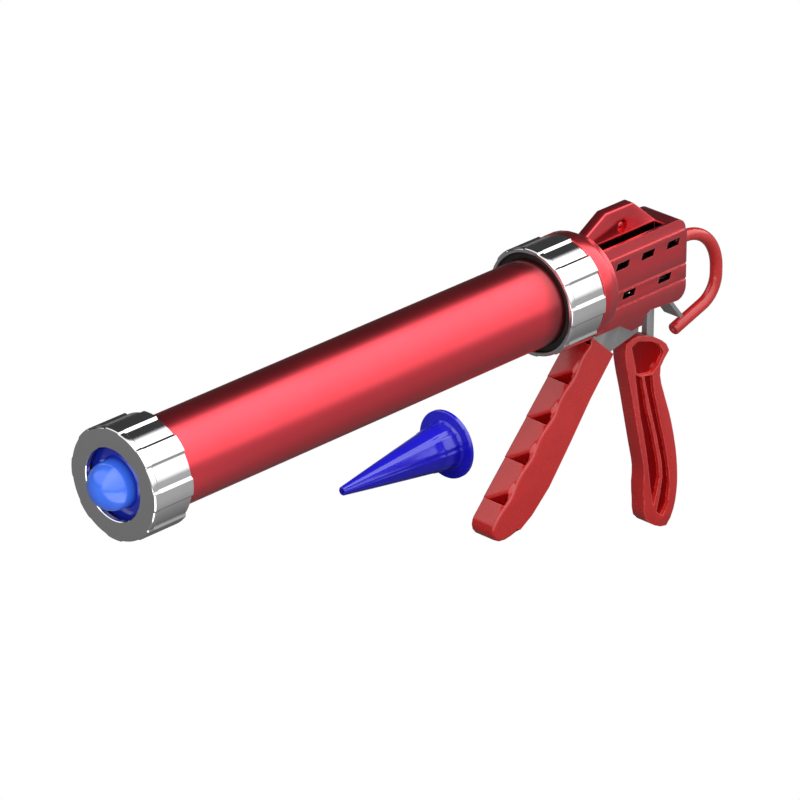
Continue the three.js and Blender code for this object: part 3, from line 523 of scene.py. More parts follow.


# %% [markdown]
# The barrel is drawn aluminium tube, brushed lengthwise and anodised red, so the metal itself has the
# colour and its grain runs along X; near the rear ring it gets a painted shade. The castings have the
# same red over a blasted surface, with a near-black painted shade inside the body. The two handles are
# red enamel over a smooth moulding, deeper in tone and not metallic, except in their hollows and
# finger scoops, where a painted shade makes them shine like metal.

# %% The finishes of this gun
ALONG = (0.05, 1, 1)
ROUND_X = (1, 0.08, 0.08)
EVEN = (1, 1, 1)
CAST_TONES = ((0.84, 0.045, 0.065), (0.76, 0.038, 0.055))
# The cast red's edge tone: partly scuffing, partly a painted pink highlight.
CAST_WORN_AND_LIT = (1.0, 0.24, 0.27)
STEEL_TONES = ((0.30, 0.31, 0.32), (0.20, 0.21, 0.22))
CHROME_TONES = ((0.86, 0.86, 0.87), (0.80, 0.80, 0.81))
MATERIAL_OF = {
    # The barrel darkens towards the rear ring as a painted shade.
    "anodised_red": finish("anodised_red", ((0.86, 0.036, 0.060), (0.81, 0.031, 0.053)),
                           (0.27, 0.35), 1.0, grain=(1400.0, ALONG), cut=0.05, coat=(1.0, 0.3), mottle=18.0,
                           zone=((0.28, 0.010, 0.018), barrel_end_shade_mask)),
    "red_paint": finish("cast_red", CAST_TONES, (0.26, 0.34), 0.97, grain=(1100.0, EVEN), cut=0.12,
                        worn_and_lit=CAST_WORN_AND_LIT, wear_and_highlight=(0.0007, 0.75), coat=(0.8, 0.22)),
    "red_handle": finish("handle_red", ((0.50, 0.012, 0.012), (0.43, 0.009, 0.009)), (0.22, 0.32),
                         grain=(700.0, EVEN), cut=0.08, worn_and_lit=(0.80, 0.17, 0.15), wear_and_highlight=(0.0007, 0.6),
                         coat=(1.0, 0.14)),
    "red_rod": finish("rod_red", ((0.56, 0.013, 0.013), (0.48, 0.010, 0.010)), (0.20, 0.30), 0.0,
                      grain=(900.0, EVEN), cut=0.08, coat=(0.7, 0.10)),
    "chrome": finish("chrome_plate", CHROME_TONES, (0.05, 0.11), 1.0, grain=(900.0, ROUND_X), cut=0.03,
                     mottle=25.0),
    "grey_metal": finish("grey_metal", ((0.50, 0.50, 0.50), (0.40, 0.40, 0.40)), (0.34, 0.46), 0.75,
                         grain=(1000.0, EVEN), cut=0.2, worn_and_lit=(0.8, 0.8, 0.8), wear_and_highlight=(0.0006, 0.5)),
    "steel": finish("bright_steel", STEEL_TONES, (0.22, 0.36), 1.0, grain=(1500.0, EVEN), cut=0.15),
    "spring_steel": finish("spring_steel", ((0.16, 0.17, 0.18), (0.10, 0.10, 0.11)), (0.25, 0.4), 1.0,
                           grain=(2000.0, EVEN), cut=0.1),
    "rubber": finish("rubber", ((0.004, 0.004, 0.004), (0.008, 0.008, 0.008)), (0.6, 0.85),
                     grain=(1600.0, EVEN), cut=0.4),
    "bronze": finish("bronze", ((0.62, 0.38, 0.14), (0.45, 0.26, 0.10)), (0.28, 0.42), 1.0,
                     grain=(1200.0, ROUND_X), cut=0.15),
    # The plunger's disc, behind the dome inside the cap, is a darker navy as a painted shade.
    "blue_plastic": finish("blue_plastic", ((0.05, 0.17, 0.85), (0.038, 0.14, 0.77)), (0.16, 0.26),
                           grain=(600.0, EVEN), cut=0.04, coat=(0.6, 0.08),
                           zone=((0.012, 0.03, 0.50), disc_shade_mask)),
    "deep_blue_plastic": finish("nozzle_blue", ((0.012, 0.008, 0.66), (0.009, 0.006, 0.56)),
                                (0.16, 0.26), grain=(700.0, EVEN), cut=0.04, coat=(0.8, 0.1)),
}
FINISH_OF = {
    "front_cap": finish("cap_chrome", CHROME_TONES, (0.05, 0.11), 1.0, grain=(900.0, ROUND_X), cut=0.03,
                        mottle=25.0, zone=((0.94, 0.94, 0.94), cap_face_mask)),
    # The grip's hollows get a painted shade.
    "grip_shell": finish("grip_red", ((0.54, 0.016, 0.016), (0.47, 0.012, 0.012)), (0.24, 0.34),
                         grain=(700.0, EVEN), cut=0.08, worn_and_lit=(0.85, 0.20, 0.18), wear_and_highlight=(0.0010, 0.8),
                         coat=(0.7, 0.16), zone=((0.58, 0.006, 0.008), hollow_shade_mask, True)),
    # The sleeve's finger scoops get a painted shade.
    "trigger_sleeve": finish("sleeve_red", ((0.52, 0.013, 0.013), (0.46, 0.010, 0.010)), (0.22, 0.32),
                             grain=(700.0, EVEN), cut=0.08, worn_and_lit=(0.85, 0.20, 0.18), wear_and_highlight=(0.0008, 0.6),
                             coat=(0.6, 0.14), zone=((0.50, 0.005, 0.005), finger_shade_mask, True)),
    # The body's inner walls and slots get a near-black painted shade.
    "body_housing": finish("body_red", CAST_TONES, (0.26, 0.34), 0.97, grain=(1100.0, EVEN), cut=0.12,
                           worn_and_lit=CAST_WORN_AND_LIT, wear_and_highlight=(0.0010, 0.9), coat=(0.8, 0.22),
                           zone=((0.010, 0.001, 0.002), inside_shade_mask, True)),
}
print("finishes", len(MATERIAL_OF) + len(FINISH_OF))

# %% [markdown]
# ## Making a piece
# Every piece ends the same way: doubles are merged, normals are turned outwards, the mesh is carried
# from the bench to its place in the frame, and flat and round faces are told apart by angle. The
# piece then rides on the body of the frame part that it stands for.

# %% Helpers that end a piece
JOIN = 0.002  # points closer than this on the bench become one


def into_scene(bm, name, material, smooth):
    """Puts a bench mesh in the frame as an object with its material."""
    bmesh.ops.remove_doubles(bm, verts=bm.verts, dist=JOIN)
    bmesh.ops.recalc_face_normals(bm, faces=bm.faces)
    bmesh.ops.transform(bm, matrix=TO_FRAME, verts=bm.verts)
    mesh = bpy.data.meshes.new(name)
    bm.to_mesh(mesh)
    bm.free()
    mesh.polygons.foreach_set("use_smooth", [True] * len(mesh.polygons))
    mesh.set_sharp_from_angle(angle=math.radians(smooth))
    mesh.materials.append(material)
    piece = bpy.data.objects.new(name, mesh)
    bpy.context.collection.objects.link(piece)
    print(f"{name:28s} {len(mesh.polygons):6d} faces")
    return piece


def add_piece(bm, node, slot, smooth=35):
    """A finished piece that stands for the frame part of that name and moves as it does."""
    piece = into_scene(bm, f"{node}_finished", FINISH_OF.get(node, MATERIAL_OF[slot]), smooth)
    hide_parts(node)
    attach(piece, BODY_OF[node])
    return piece


def add_extra(bm, name, body_node, slot, smooth=35):
    """A small piece that the frame doesn't have. It rides with the body of body_node."""
    piece = into_scene(bm, name, MATERIAL_OF[slot], smooth)
    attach(piece, BODY_OF[body_node])
    return piece


def soften(bm, width, segments=2, angle=33):
    """Rounds every edge that turns by more than angle degrees."""
    bmesh.ops.remove_doubles(bm, verts=bm.verts, dist=JOIN)
    bmesh.ops.recalc_face_normals(bm, faces=bm.faces)
    limit = math.radians(angle)
    sharp = [e for e in bm.edges if e.is_manifold and e.calc_face_angle() > limit]
    bmesh.ops.bevel(bm, geom=sharp, offset=width, offset_type="OFFSET", segments=segments,
                    profile=0.5, affect="EDGES", material=-1, clamp_overlap=True)
    return bm


# %% [markdown]
# ## Turned parts
# A lathe part is one outline spun round the axis. The outline is a few (x, radius) points; the spin
# does the rest, and a small bevel takes the edge off as a file would.

# %% Spinning an outline
def turned(outline, steps=96, edge=0.0, segments=2):
    """Spins a closed outline of (x, radius) points round the barrel's axis."""
    bm = bmesh.new()
    corners = [bm.verts.new((x, -radius, 0.0)) for x, radius in outline]
    for first, second in zip(corners, corners[1:] + corners[:1]):
        if first.co.y < 0 or second.co.y < 0:
            bm.edges.new((first, second))
    bmesh.ops.spin(bm, geom=bm.verts[:] + bm.edges[:], cent=(0, 0, 0), axis=(1, 0, 0),
                   angle=math.tau, steps=steps, use_merge=True)
    bmesh.ops.dissolve_degenerate(bm, edges=bm.edges, dist=0.001)
    if edge:
        soften(bm, edge, segments)
    return bm


def pipe(start, end, inner, outer, **options):
    return turned([(start, inner), (start, outer), (end, outer), (end, inner)], **options)


def bar(start, end, radius, **options):
    return turned([(start, 0.0), (start, radius), (end, radius), (end, 0.0)], **options)


def across(bm, x, z):
    """Turns a part spun round X so that it lies along Y, at a place in the side view."""
    bmesh.ops.rotate(bm, verts=bm.verts, cent=(0, 0, 0), matrix=Matrix.Rotation(math.pi / 2, 3, "Z"))
    bmesh.ops.translate(bm, verts=bm.verts, vec=(x, 0.0, z))
    return bm


# %% [markdown]
# ## Barrel
# A thin tube with a collar at its rear end, which the ring nut pulls against the body.

# %% Barrel and the rings that seal it
BARREL_WALL = 1.5
SLIP = 0.3
COLLAR_LENGTH = 4.0
LINER_BORE = 22.9
GASKET_BORE = 24.5
barrel_low, barrel_high = extent("barrel_tube")
liner_low, liner_high = extent("cap_liner")
BARREL_RADIUS = liner_high.z
COLLAR_RADIUS = barrel_high.z
BORE_RADIUS = BARREL_RADIUS - BARREL_WALL
barrel_outline = [
    (barrel_low.x, BORE_RADIUS), (barrel_low.x, BARREL_RADIUS),
    (barrel_high.x - COLLAR_LENGTH, BARREL_RADIUS), (barrel_high.x - COLLAR_LENGTH, COLLAR_RADIUS),
    (barrel_high.x, COLLAR_RADIUS), (barrel_high.x, BORE_RADIUS)]
add_piece(turned(barrel_outline, steps=144, edge=0.3), "barrel_tube", "anodised_red")

add_piece(pipe(liner_low.x, liner_high.x, LINER_BORE, BARREL_RADIUS, edge=0.3), "cap_liner", "rubber")
gasket_low, gasket_high = extent("barrel_gasket")
gasket = pipe(gasket_low.x, gasket_high.x, GASKET_BORE, gasket_high.z, edge=0.3)
add_piece(gasket, "barrel_gasket", "rubber")
washer_low, washer_high = extent("ring_washer")
washer = pipe(washer_low.x, washer_high.x, BARREL_RADIUS + SLIP, washer_high.z, edge=0.2)
add_piece(washer, "ring_washer", "steel")

# %% [markdown]
# ## Cap and ring nut
# Both are chromed castings with the same hand grip: eight narrow ridges and broad shallow valleys.
# A valley stops short of the front rim with rounded corners and runs out at the rear. A circle is
# extruded ring by ring, and the radius of each ring's points follows the grip's formula, which
# keeps the steps crisp without any cutting.

# %% The grip formula
RIDGES = 8
RIDGE_HALF = math.radians(8.2)
VALLEY_DEPTH = 1.4
VALLEY_START = 3.1  # behind the front face
VALLEY_CORNER = 2.4
VALLEY_SLOPE = 1.7
GRIP_FACETS = 480


def valley_share(angle, along, radius):
    """0 on a ridge or the rim, 1 on a valley's floor, at a distance along from the front face."""
    period = math.tau / RIDGES
    from_ridge = abs((angle + period / 2) % period - period / 2)
    sideways = (from_ridge - RIDGE_HALF) * radius
    inside = along - VALLEY_START
    if sideways < VALLEY_CORNER and inside < VALLEY_CORNER:
        depth = VALLEY_CORNER - math.hypot(VALLEY_CORNER - sideways, VALLEY_CORNER - inside)
    else:
        depth = min(sideways, inside)
    share = min(max(depth / VALLEY_SLOPE, 0.0), 1.0)
    return share * share * (3 - 2 * share)


def ring_stack(stations, facets, radius_of):
    """Extrudes a circle ring by ring. A station is (x, radius, grip share), and the last station
    closes on the first."""
    bm = bmesh.new()
    bmesh.ops.create_circle(bm, segments=facets, radius=1.0, cap_ends=False)
    bmesh.ops.rotate(bm, verts=bm.verts, cent=(0, 0, 0), matrix=Matrix.Rotation(math.pi / 2, 3, "Y"))

    def place(verts, station):
        for vert in verts:
            angle = math.atan2(vert.co.z, vert.co.y)
            radius = radius_of(angle, station)
            vert.co = (station[0], radius * math.cos(angle), radius * math.sin(angle))

    loop = bm.edges[:]
    place(bm.verts[:], stations[0])
    for station in stations[1:]:
        made = bmesh.ops.extrude_edge_only(bm, edges=loop)["geom"]
        loop = [e for e in made if isinstance(e, bmesh.types.BMEdge)]
        place([v for v in made if isinstance(v, bmesh.types.BMVert)], station)
    return bm


RIM_ROUND = 1.3
RIM_SHARE = 0.45  # how much of a valley shows right up to the front rim
FINE_START = 0.2  # ahead of a valley's start, from where the rings lie close together
FINE_STEP = 0.25
FINE_RINGS = 16
COARSE_START = 5.0  # behind a valley's start, from where they lie far apart
COARSE_RINGS = 8
REAR_EDGE_CUT = 0.6


def hand_grip(start, length, bore_stations):
    """The gripped sleeve from x = start. bore_stations lead from the rear face round to the front face."""
    ridge = extent("front_cap")[1].z
    quarter = [math.radians(15 * i) for i in range(7)]
    rim = [(start + RIM_ROUND * (1 - math.cos(a)), ridge - RIM_ROUND * (1 - math.sin(a)), 1.0)
           for a in quarter]
    near = [start + VALLEY_START - FINE_START + FINE_STEP * i for i in range(FINE_RINGS)]
    coarse_length = length - VALLEY_START - COARSE_START - 1
    rest = [start + VALLEY_START + COARSE_START + coarse_length * i / COARSE_RINGS
            for i in range(COARSE_RINGS + 1)]
    side = [(x, ridge, 1.0) for x in near + rest]
    rear = [(start + length - 0.5, ridge, 1.0), (start + length, ridge - REAR_EDGE_CUT, 1.0)]
    stations = bore_stations[-1:] + rim + side + rear + bore_stations

    def radius_of(angle, station):
        x, radius, share = station
        whole = RIM_SHARE * valley_share(angle, length, radius)
        return radius - share * VALLEY_DEPTH * max(whole, valley_share(angle, x - start, radius))

    return ring_stack(stations, GRIP_FACETS, radius_of)


print(RIDGES, "ridges, valleys", VALLEY_DEPTH, "mm deep")

# %% [markdown]
# The cap has a thin front wall with a round hole, through which the plunger's dome stands out. The
# ring nut has a wide mouth round the barrel and a lip behind it that holds the barrel's collar.

# %% Front cap and rear ring
CAP_WALL = 3.0
CAP_HOLE = 22.2
cap_rear = extent("front_cap")[1].x
bore = BARREL_RADIUS + SLIP
cap_bore = [(cap_rear, bore, 0.0), (CAP_WALL, bore, 0.0), (CAP_WALL, CAP_HOLE, 0.0),
            (0.4, CAP_HOLE, 0.0), (0.0, CAP_HOLE + 0.4, 0.0)]
add_piece(hand_grip(0.0, cap_rear, cap_bore), "front_cap", "chrome", smooth=40)

MOUTH_RADIUS = BARREL_RADIUS + 4.0
LIP_DEPTH = 7.1
LIP_LENGTH = 4
ring_a, ring_b = extent("rear_ring")
lip = ring_a.x + LIP_DEPTH
chamber = COLLAR_RADIUS + SLIP
ring_bore = [(ring_b.x, chamber, 0.0), (lip + LIP_LENGTH, chamber, 0.0), (lip + LIP_LENGTH, bore, 0.0),
             (lip, bore, 0.0), (lip, MOUTH_RADIUS, 0.0), (ring_a.x + 0.5, MOUTH_RADIUS, 0.0),
             (ring_a.x, MOUTH_RADIUS + 0.5, 0.0)]
add_piece(hand_grip(ring_a.x, ring_b.x - ring_a.x, ring_bore), "rear_ring", "chrome", smooth=40)

# %% [markdown]
# A black wiper ring sits in the ring nut's mouth and closes the gap round the barrel. It is a plain
# rubber pipe, set back a little from the nut's front edge.

# %% Wiper in the ring's mouth
WIPER_SETBACK = 1.6
wiper = pipe(ring_a.x + WIPER_SETBACK, lip - 0.1, BARREL_RADIUS + 0.15, MOUTH_RADIUS - 0.05,
             steps=144, edge=0.4)
add_extra(wiper, "ring_wiper", "rear_ring", "rubber")

# %% [markdown]
# ## Rod, hook and bushes
# The rod is one round bar, bent cold at its rear end. It is made the way a bender makes it: a circle
# is pushed straight along the axis, swung round a former, pushed on, swung again, and cut off. The
# end keeps the small dimple of the lathe's centre.

# %% The hooked rod
ROD_RADIUS = 4.0
rod_low, rod_high = extent("hook_rod")
body_low, body_high = extent("body_housing")
BEND_START = body_high.x + 15.5
TOP_BEND = 31.0
LOW_BEND = 18.5
LOW_TURN = 72.0
DROP = 3.8
TAIL = 28.0


def last_edges(made):
    return [item for item in made if isinstance(item, bmesh.types.BMEdge)]


def push(bm, loop, vector):
    """Extrudes a loop of edges along a vector and gives the new loop."""
    made = bmesh.ops.extrude_edge_only(bm, edges=loop)["geom"]
    bmesh.ops.translate(bm, verts=[v for v in made if isinstance(v, bmesh.types.BMVert)], vec=vector)
    return last_edges(made)


def swing(bm, loop, centre, degrees, steps):
    """Spins a loop of edges round a line along Y through centre and gives the new loop."""
    verts = list({v for e in loop for v in e.verts})
    made = bmesh.ops.spin(bm, geom=verts + loop, cent=centre, axis=(0, 1, 0),
                          angle=math.radians(degrees), steps=steps, use_merge=False)
    return last_edges(made["geom_last"])


bm = bmesh.new()
bmesh.ops.create_circle(bm, segments=32, radius=ROD_RADIUS, cap_ends=False)
bmesh.ops.rotate(bm, verts=bm.verts, cent=(0, 0, 0), matrix=Matrix.Rotation(math.pi / 2, 3, "Y"))
bmesh.ops.translate(bm, verts=bm.verts, vec=(rod_low.x, 0, 0))
loop = push(bm, bm.edges[:], (BEND_START - rod_low.x, 0, 0))
loop = swing(bm, loop, (BEND_START, 0, -TOP_BEND), 90, 28)
loop = push(bm, loop, (0, 0, -DROP))
loop = swing(bm, loop, (BEND_START + TOP_BEND - LOW_BEND, 0, -TOP_BEND - DROP), LOW_TURN, 22)
heading = math.radians(-90 - LOW_TURN)
tail_way = Vector((math.cos(heading), 0, math.sin(heading)))
loop = push(bm, loop, tail_way * (TAIL - 0.8))
for grow, step in ((0.9, 0.8), (0.45, 0.0), (0.4, -1.0)):
    loop = push(bm, loop, tail_way * step)
    ring = list({v for e in loop for v in e.verts})
    middle = sum((v.co for v in ring), Vector()) / len(ring)
    for vert in ring:
        vert.co = middle + (vert.co - middle) * grow
bmesh.ops.holes_fill(bm, edges=bm.edges, sides=0)
add_piece(bm, "hook_rod", "red_rod", smooth=40)

# %% [markdown]
# The rod slides in two flanged bronze bushes, one at each end of the body. The front one has its
# flange at the front and the rear one at the rear, so neither can be pushed through.

# %% Bushes for the rod
BUSH_BORE = ROD_RADIUS + 0.15
BUSH_FLANGE = 1.0
BUSH_NARROW = 6.35
for name, flange_first in (("front_rod_bush", True), ("rear_rod_bush", False)):
    low, high = extent(name)
    if flange_first:
        shoulder = low.x + BUSH_FLANGE
        front_radius, rear_radius = high.z, BUSH_NARROW
    else:
        shoulder = high.x - BUSH_FLANGE
        front_radius, rear_radius = BUSH_NARROW, high.z
    outline = [(low.x, BUSH_BORE), (low.x, front_radius), (shoulder, front_radius),
               (shoulder, rear_radius), (high.x, rear_radius), (high.x, BUSH_BORE)]
    add_piece(turned(outline, steps=64, edge=0.2), name, "bronze")

# %% [markdown]
# ## Plunger
# A blue moulding: a domed nose that stands out through the cap, on a disc with a groove for its seal.
# A steel washer and a nut hold it on the rod.

# %% Plunger, seal, washer and nut
plunger_low, plunger_high = extent("plunger")
seal_low, seal_high = extent("plunger_seal")
DOME = -plunger_low.x
GROOVE_DEPTH = 2.4
disc_front = 6.3
disc_radius = plunger_high.z
groove = disc_radius - GROOVE_DEPTH
nose = [(-DOME * math.cos(a), DOME * math.sin(a)) for a in (math.pi / 2 * i / 18 for i in range(19))]
nose[0] = (-DOME, 0.0)
plunger_outline = nose + [
    (disc_front - 1.2, DOME), (disc_front, DOME + 1.2), (disc_front, disc_radius - 1.5),
    (disc_front + 1.5, disc_radius), (seal_low.x - 0.1, disc_radius), (seal_low.x - 0.1, groove),
    (seal_high.x + 0.1, groove), (seal_high.x + 0.1, disc_radius), (plunger_high.x, disc_radius),
    (plunger_high.x, BUSH_BORE), (disc_front + 1.8, BUSH_BORE), (disc_front + 1.8, 0.0)]
add_piece(turned(plunger_outline, steps=96, edge=0.25), "plunger", "blue_plastic")
add_piece(pipe(seal_low.x, seal_high.x, groove + 0.1, seal_high.z, edge=0.3), "plunger_seal", "rubber")
low, high = extent("backing_washer")
add_piece(pipe(low.x, high.x, BUSH_BORE, high.z, edge=0.3), "backing_washer", "steel")

low, high = extent("plunger_nut")
nut = pipe(low.x, high.x, BUSH_BORE, high.y, steps=6, edge=0.35)
add_piece(nut, "plunger_nut", "steel", smooth=20)

# %% [markdown]
# ## Springs
# A compression spring is a small circle spun round the rod while it moves along it, which the spin
# operator does in one step with its own shift per turn.

# %% Springs
WIRE_RADIUS = 0.7
COIL_RADIUS = ROD_RADIUS + 2.4
STEPS_PER_TURN = 28


def coil(start, end, radius, turns):
    """A compression spring along X, from start to end."""
    bm = bmesh.new()
    bmesh.ops.create_circle(bm, segments=12, radius=WIRE_RADIUS, cap_ends=False)
    bmesh.ops.rotate(bm, verts=bm.verts, cent=(0, 0, 0), matrix=Matrix.Rotation(math.pi / 2, 3, "X"))
    bmesh.ops.translate(bm, verts=bm.verts, vec=(start + WIRE_RADIUS, 0, radius))
    bmesh.ops.rotate(bm, verts=bm.verts, cent=(0, 0, 0), matrix=Matrix.Rotation(math.pi / 2, 3, "X"))
    steps = turns * STEPS_PER_TURN
    shift = (end - start - 2 * WIRE_RADIUS) / steps
    bmesh.ops.spin(bm, geom=bm.verts[:] + bm.edges[:], cent=(0, 0, 0), axis=(1, 0, 0),
                   angle=math.tau * turns, steps=steps, dvec=(shift, 0, 0), use_merge=False)
    bmesh.ops.holes_fill(bm, edges=bm.edges, sides=0)
    return bm


springs = {}
for name, turns in (("drive_spring", 5), ("brake_spring", 4)):
    low, high = extent(name)
    springs[name] = add_piece(coil(low.x, high.x, COIL_RADIUS, turns), name, "spring_steel")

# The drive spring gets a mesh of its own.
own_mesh(springs["drive_spring"])

# %% [markdown]
# ## Pins, roller and washers
# Plain turned steel, laid across the gun. The rivet in the fin has a domed head on each side and is
# cast red like the fin.

# %% Small turned parts
for name in ("pivot_pin", "roller_pin", "core_pin", "grip_screw", "release_pin"):
    low, high = extent(name)
    radius = (high.z - low.z) / 2
    pin = bar(low.y, high.y, radius, steps=32, edge=0.25)
    add_piece(across(pin, (low.x + high.x) / 2, (low.z + high.z) / 2), name, "steel")

for name, inner in (("trigger_roller", 1.65), ("pivot_spacer_near", 3.15), ("pivot_spacer_far", 3.15)):
    low, high = extent(name)
    tube = pipe(low.y, high.y, inner, (high.z - low.z) / 2, steps=48, edge=0.2)
    add_piece(across(tube, (low.x + high.x) / 2, (low.z + high.z) / 2), name, "steel")

low, high = extent("spring_seat")
add_piece(pipe(low.x, high.x, BUSH_BORE, high.z, steps=64, edge=0.2), "spring_seat", "steel")

low, high = extent("fin_rivet")
head = (high.z - low.z) / 2
flank = head - 1.4
dome = [(high.y, 0.0), (high.y, flank * 0.5), (high.y - 0.45, flank * 0.87), (high.y - 1.4, flank),
        (1.0, flank), (1.0, head)]
rivet = turned([(-y, radius) for y, radius in dome] + dome[::-1], steps=40)
add_piece(across(rivet, (low.x + high.x) / 2, (low.z + high.z) / 2), "fin_rivet", "red_paint", smooth=50)

# %% [markdown]
# ## Castings and stampings
# The body, the levers and the grip's core already have their true outlines in the frame. A copy of
# each is merged, its flat faces are joined up again, and its sharp edges get the small radius that a
# mould or a stamping leaves. That radius is what catches the light along every ledge.

# %% Softened copies of frame parts
def from_frame(node):
    """A merged bench copy of a frame part, with its flat faces joined up."""
    bm = bmesh.new()
    bm.from_mesh(frame["nodes"][node].data)
    bmesh.ops.transform(bm, matrix=TO_BENCH, verts=bm.verts)
    bmesh.ops.remove_doubles(bm, verts=bm.verts, dist=0.003)
    bmesh.ops.dissolve_limit(bm, angle_limit=math.radians(0.5), verts=bm.verts, edges=bm.edges)
    return bm


for name, slot, width in (("drive_plate", "steel", 0.3), ("release_lever", "grey_metal", 0.35),
                          ("trigger_lever", "grey_metal", 0.4), ("grip_core", "grey_metal", 0.5)):
    add_piece(soften(from_frame(name), width), name, slot, smooth=30)

# %% [markdown]
# The body shows broader bevels where a hand rests or a file has been: round the top of the fin and
# behind the flange. Those edges are picked out by where they lie and are cut first.

# %% Body
def sharp_edges(bm, wanted):
    """The sharp edges whose two ends both pass a test on their place."""
    return [e for e in bm.edges if e.is_manifold and e.calc_face_angle() > math.radians(25)
            and all(wanted(v.co) for v in e.verts)]


def chamfer(bm, edges, width, segments):
    bmesh.ops.bevel(bm, geom=edges, offset=width, offset_type="OFFSET", segments=segments,
                    profile=0.5, affect="EDGES", material=-1, clamp_overlap=True)


FIN_HALF = 4.0
FIN_BEVEL = 1.3
DECK = 22.5
body = from_frame("body_housing")
fin_edges = sharp_edges(body, lambda p: abs(abs(p.y) - FIN_HALF) < 0.05 and p.z > DECK + 2)
fin_edges = [e for e in fin_edges if abs(e.verts[0].co.y - e.verts[1].co.y) < 0.05
             and (e.verts[0].co - e.verts[1].co).length > 6]
chamfer(body, fin_edges, FIN_BEVEL, 2)
FLANGE_REAR = 387.0
FLANGE_RADIUS = 34.0
FLANGE_BEVEL = 2.4
behind_flange = sharp_edges(body, lambda p: abs(p.x - FLANGE_REAR) < 0.1
                            and math.hypot(p.y, p.z) > FLANGE_RADIUS - 0.3)
chamfer(body, behind_flange, FLANGE_BEVEL, 2)
print("fin edges", len(fin_edges), "flange edges", len(behind_flange))
add_piece(soften(body, 0.5), "body_housing", "red_paint", smooth=30)

# %% [markdown]
# The grip is a moulding with a raised rim and a rib between two hollows on each side. Its hollows
# are pressed a little deeper than in the frame, and every edge is well rounded for the palm.

# %% Grip
HOLLOW_FLOOR = 3.8
HOLLOW_EXTRA = 0.9
grip = from_frame("grip_shell")
for vert in grip.verts:
    if abs(abs(vert.co.y) - HOLLOW_FLOOR) < 0.05:
        vert.co.y -= math.copysign(HOLLOW_EXTRA, vert.co.y)
add_piece(soften(grip, 0.9, 3), "grip_shell", "red_handle", smooth=35)

# %% [markdown]
# ## Trigger sleeve
# The sleeve is a moulding that slips over the lever: two flat sides and a front with a step and a
# scoop for each finger. It has two skins. Each is a grid whose rows follow the front from under the
# foot to the top, and whose columns go round from one rear edge to the other. The outer skin has the
# steps, the inner one is plain, and a band of faces joins their edges.

# %% The sleeve's path and its steps
SLEEVE_HALF = 9.25
SLEEVE_WALL = 1.6
STEP_FIRST = 14.5
STEP_PITCH = 28.0
STEP_DEPTH = 5.6
STEP_LENGTH = 14.0
RAIL_START = 0.82  # across the front
REAR_EDGE = [(6, 24), (20, 28.3), (40, 30.3), (70, 28.3), (100, 25.6), (SLEEVE_LENGTH, 25.0)]
FOOT_PATH = [(7, 23.6), (2, 20.5), (-2.5, 16.8), (-5.4, 12.8), (-6.4, 9.0), (-5.8, 5.2), (-3.8, 2.2),
             (-0.8, 0.5)]


def foot_inward(index):
    """The way into the sleeve at a point of the foot's path, square to the path."""
    ends = FOOT_PATH[max(index - 1, 0)], (FOOT_PATH + [(3.0, 0.0)])[index + 1]
    rise, depth = ends[1][0] - ends[0][0], ends[1][1] - ends[0][1]
    size = math.hypot(rise, depth)
    return -depth / size, rise / size


def between(table, x):
    """Reads a smooth value from a short table of (x, value)."""
    for (x0, v0), (x1, v1) in zip(table, table[1:]):
        if x <= x1:
            t = min(max((x - x0) / (x1 - x0), 0.0), 1.0)
            return v0 + (v1 - v0) * t
    return table[-1][1]


def ease(t):
    t = min(max(t, 0.0), 1.0)
    return t * t * (3 - 2 * t)


def front_depth(along, across):
    """Depth of the front behind its straight line. across is 0 at the far edge and 1 at the near."""
    step = (along - STEP_FIRST) % STEP_PITCH
    if along < STEP_FIRST:
        step = STEP_PITCH - (STEP_FIRST - along) * 0.8
    across = max(across, 0.0)
    length = STEP_LENGTH * max(across, 0.01)
    top_fade = ease((SLEEVE_LENGTH - along) / 4)
    scoop = max(0.0, STEP_DEPTH * across ** 0.85 * (1 - step / length))
    ramp = 0.5 * step / STEP_PITCH
    rail = 1.2 + 1.0 * math.cos(math.tau * (step - 7.0) / STEP_PITCH)
    on_rail = ease((across - RAIL_START) / 0.1)
    return (scoop + ramp) * (1 - on_rail) + rail * on_rail * top_fade


# %% [markdown]
# The rows lie a millimetre apart, with an extra pair at the lip of each step so that it stays crisp.
# The columns are close together where the front's long edges are rounded and where the rail begins.

# %% The sleeve
rows = [("foot", point) for point in FOOT_PATH]
along = 1.5
while along < SLEEVE_LENGTH - 0.3:
    rows.append(("front", along))
    nearest = STEP_FIRST + STEP_PITCH * round((along - STEP_FIRST) / STEP_PITCH)
    if along < nearest <= along + 1.0 and nearest > 0:
        rows += [("front", nearest - 0.02), ("front", nearest + 0.001)]
        along = nearest + 0.35
    else:
        along += 1.0
rows.append(("front", SLEEVE_LENGTH))

near_side = [1.0, 0.75, 0.5, 0.3, 0.15, 0.06]
far_side = near_side[::-1]
front_across = [1.0, 0.985, 0.965, 0.94, 0.91, 0.88, 0.85, RAIL_START]
front_across += [RAIL_START - 0.06 * i for i in range(1, 13)]
front_across += [0.06, 0.03, 0.012, 0.0]
columns = [("near", t) for t in near_side]
columns += [("front", t) for t in front_across]
columns += [("far", t) for t in far_side]


NEAR_ROUND = 1.7
FAR_ROUND = 1.0


def corner_drop(across):
    """How far the two long edges of the front are rounded back."""
    near = max(0.0, (across - 0.9) / 0.1)
    far = max(0.0, (0.06 - across) / 0.06)
    near_drop = NEAR_ROUND * (1 - math.sqrt(1 - min(near, 1.0) ** 2))
    far_drop = FAR_ROUND * (1 - math.sqrt(1 - min(far, 1.0) ** 2))
    return near_drop + far_drop


FRONT_THICKNESS = 6.6


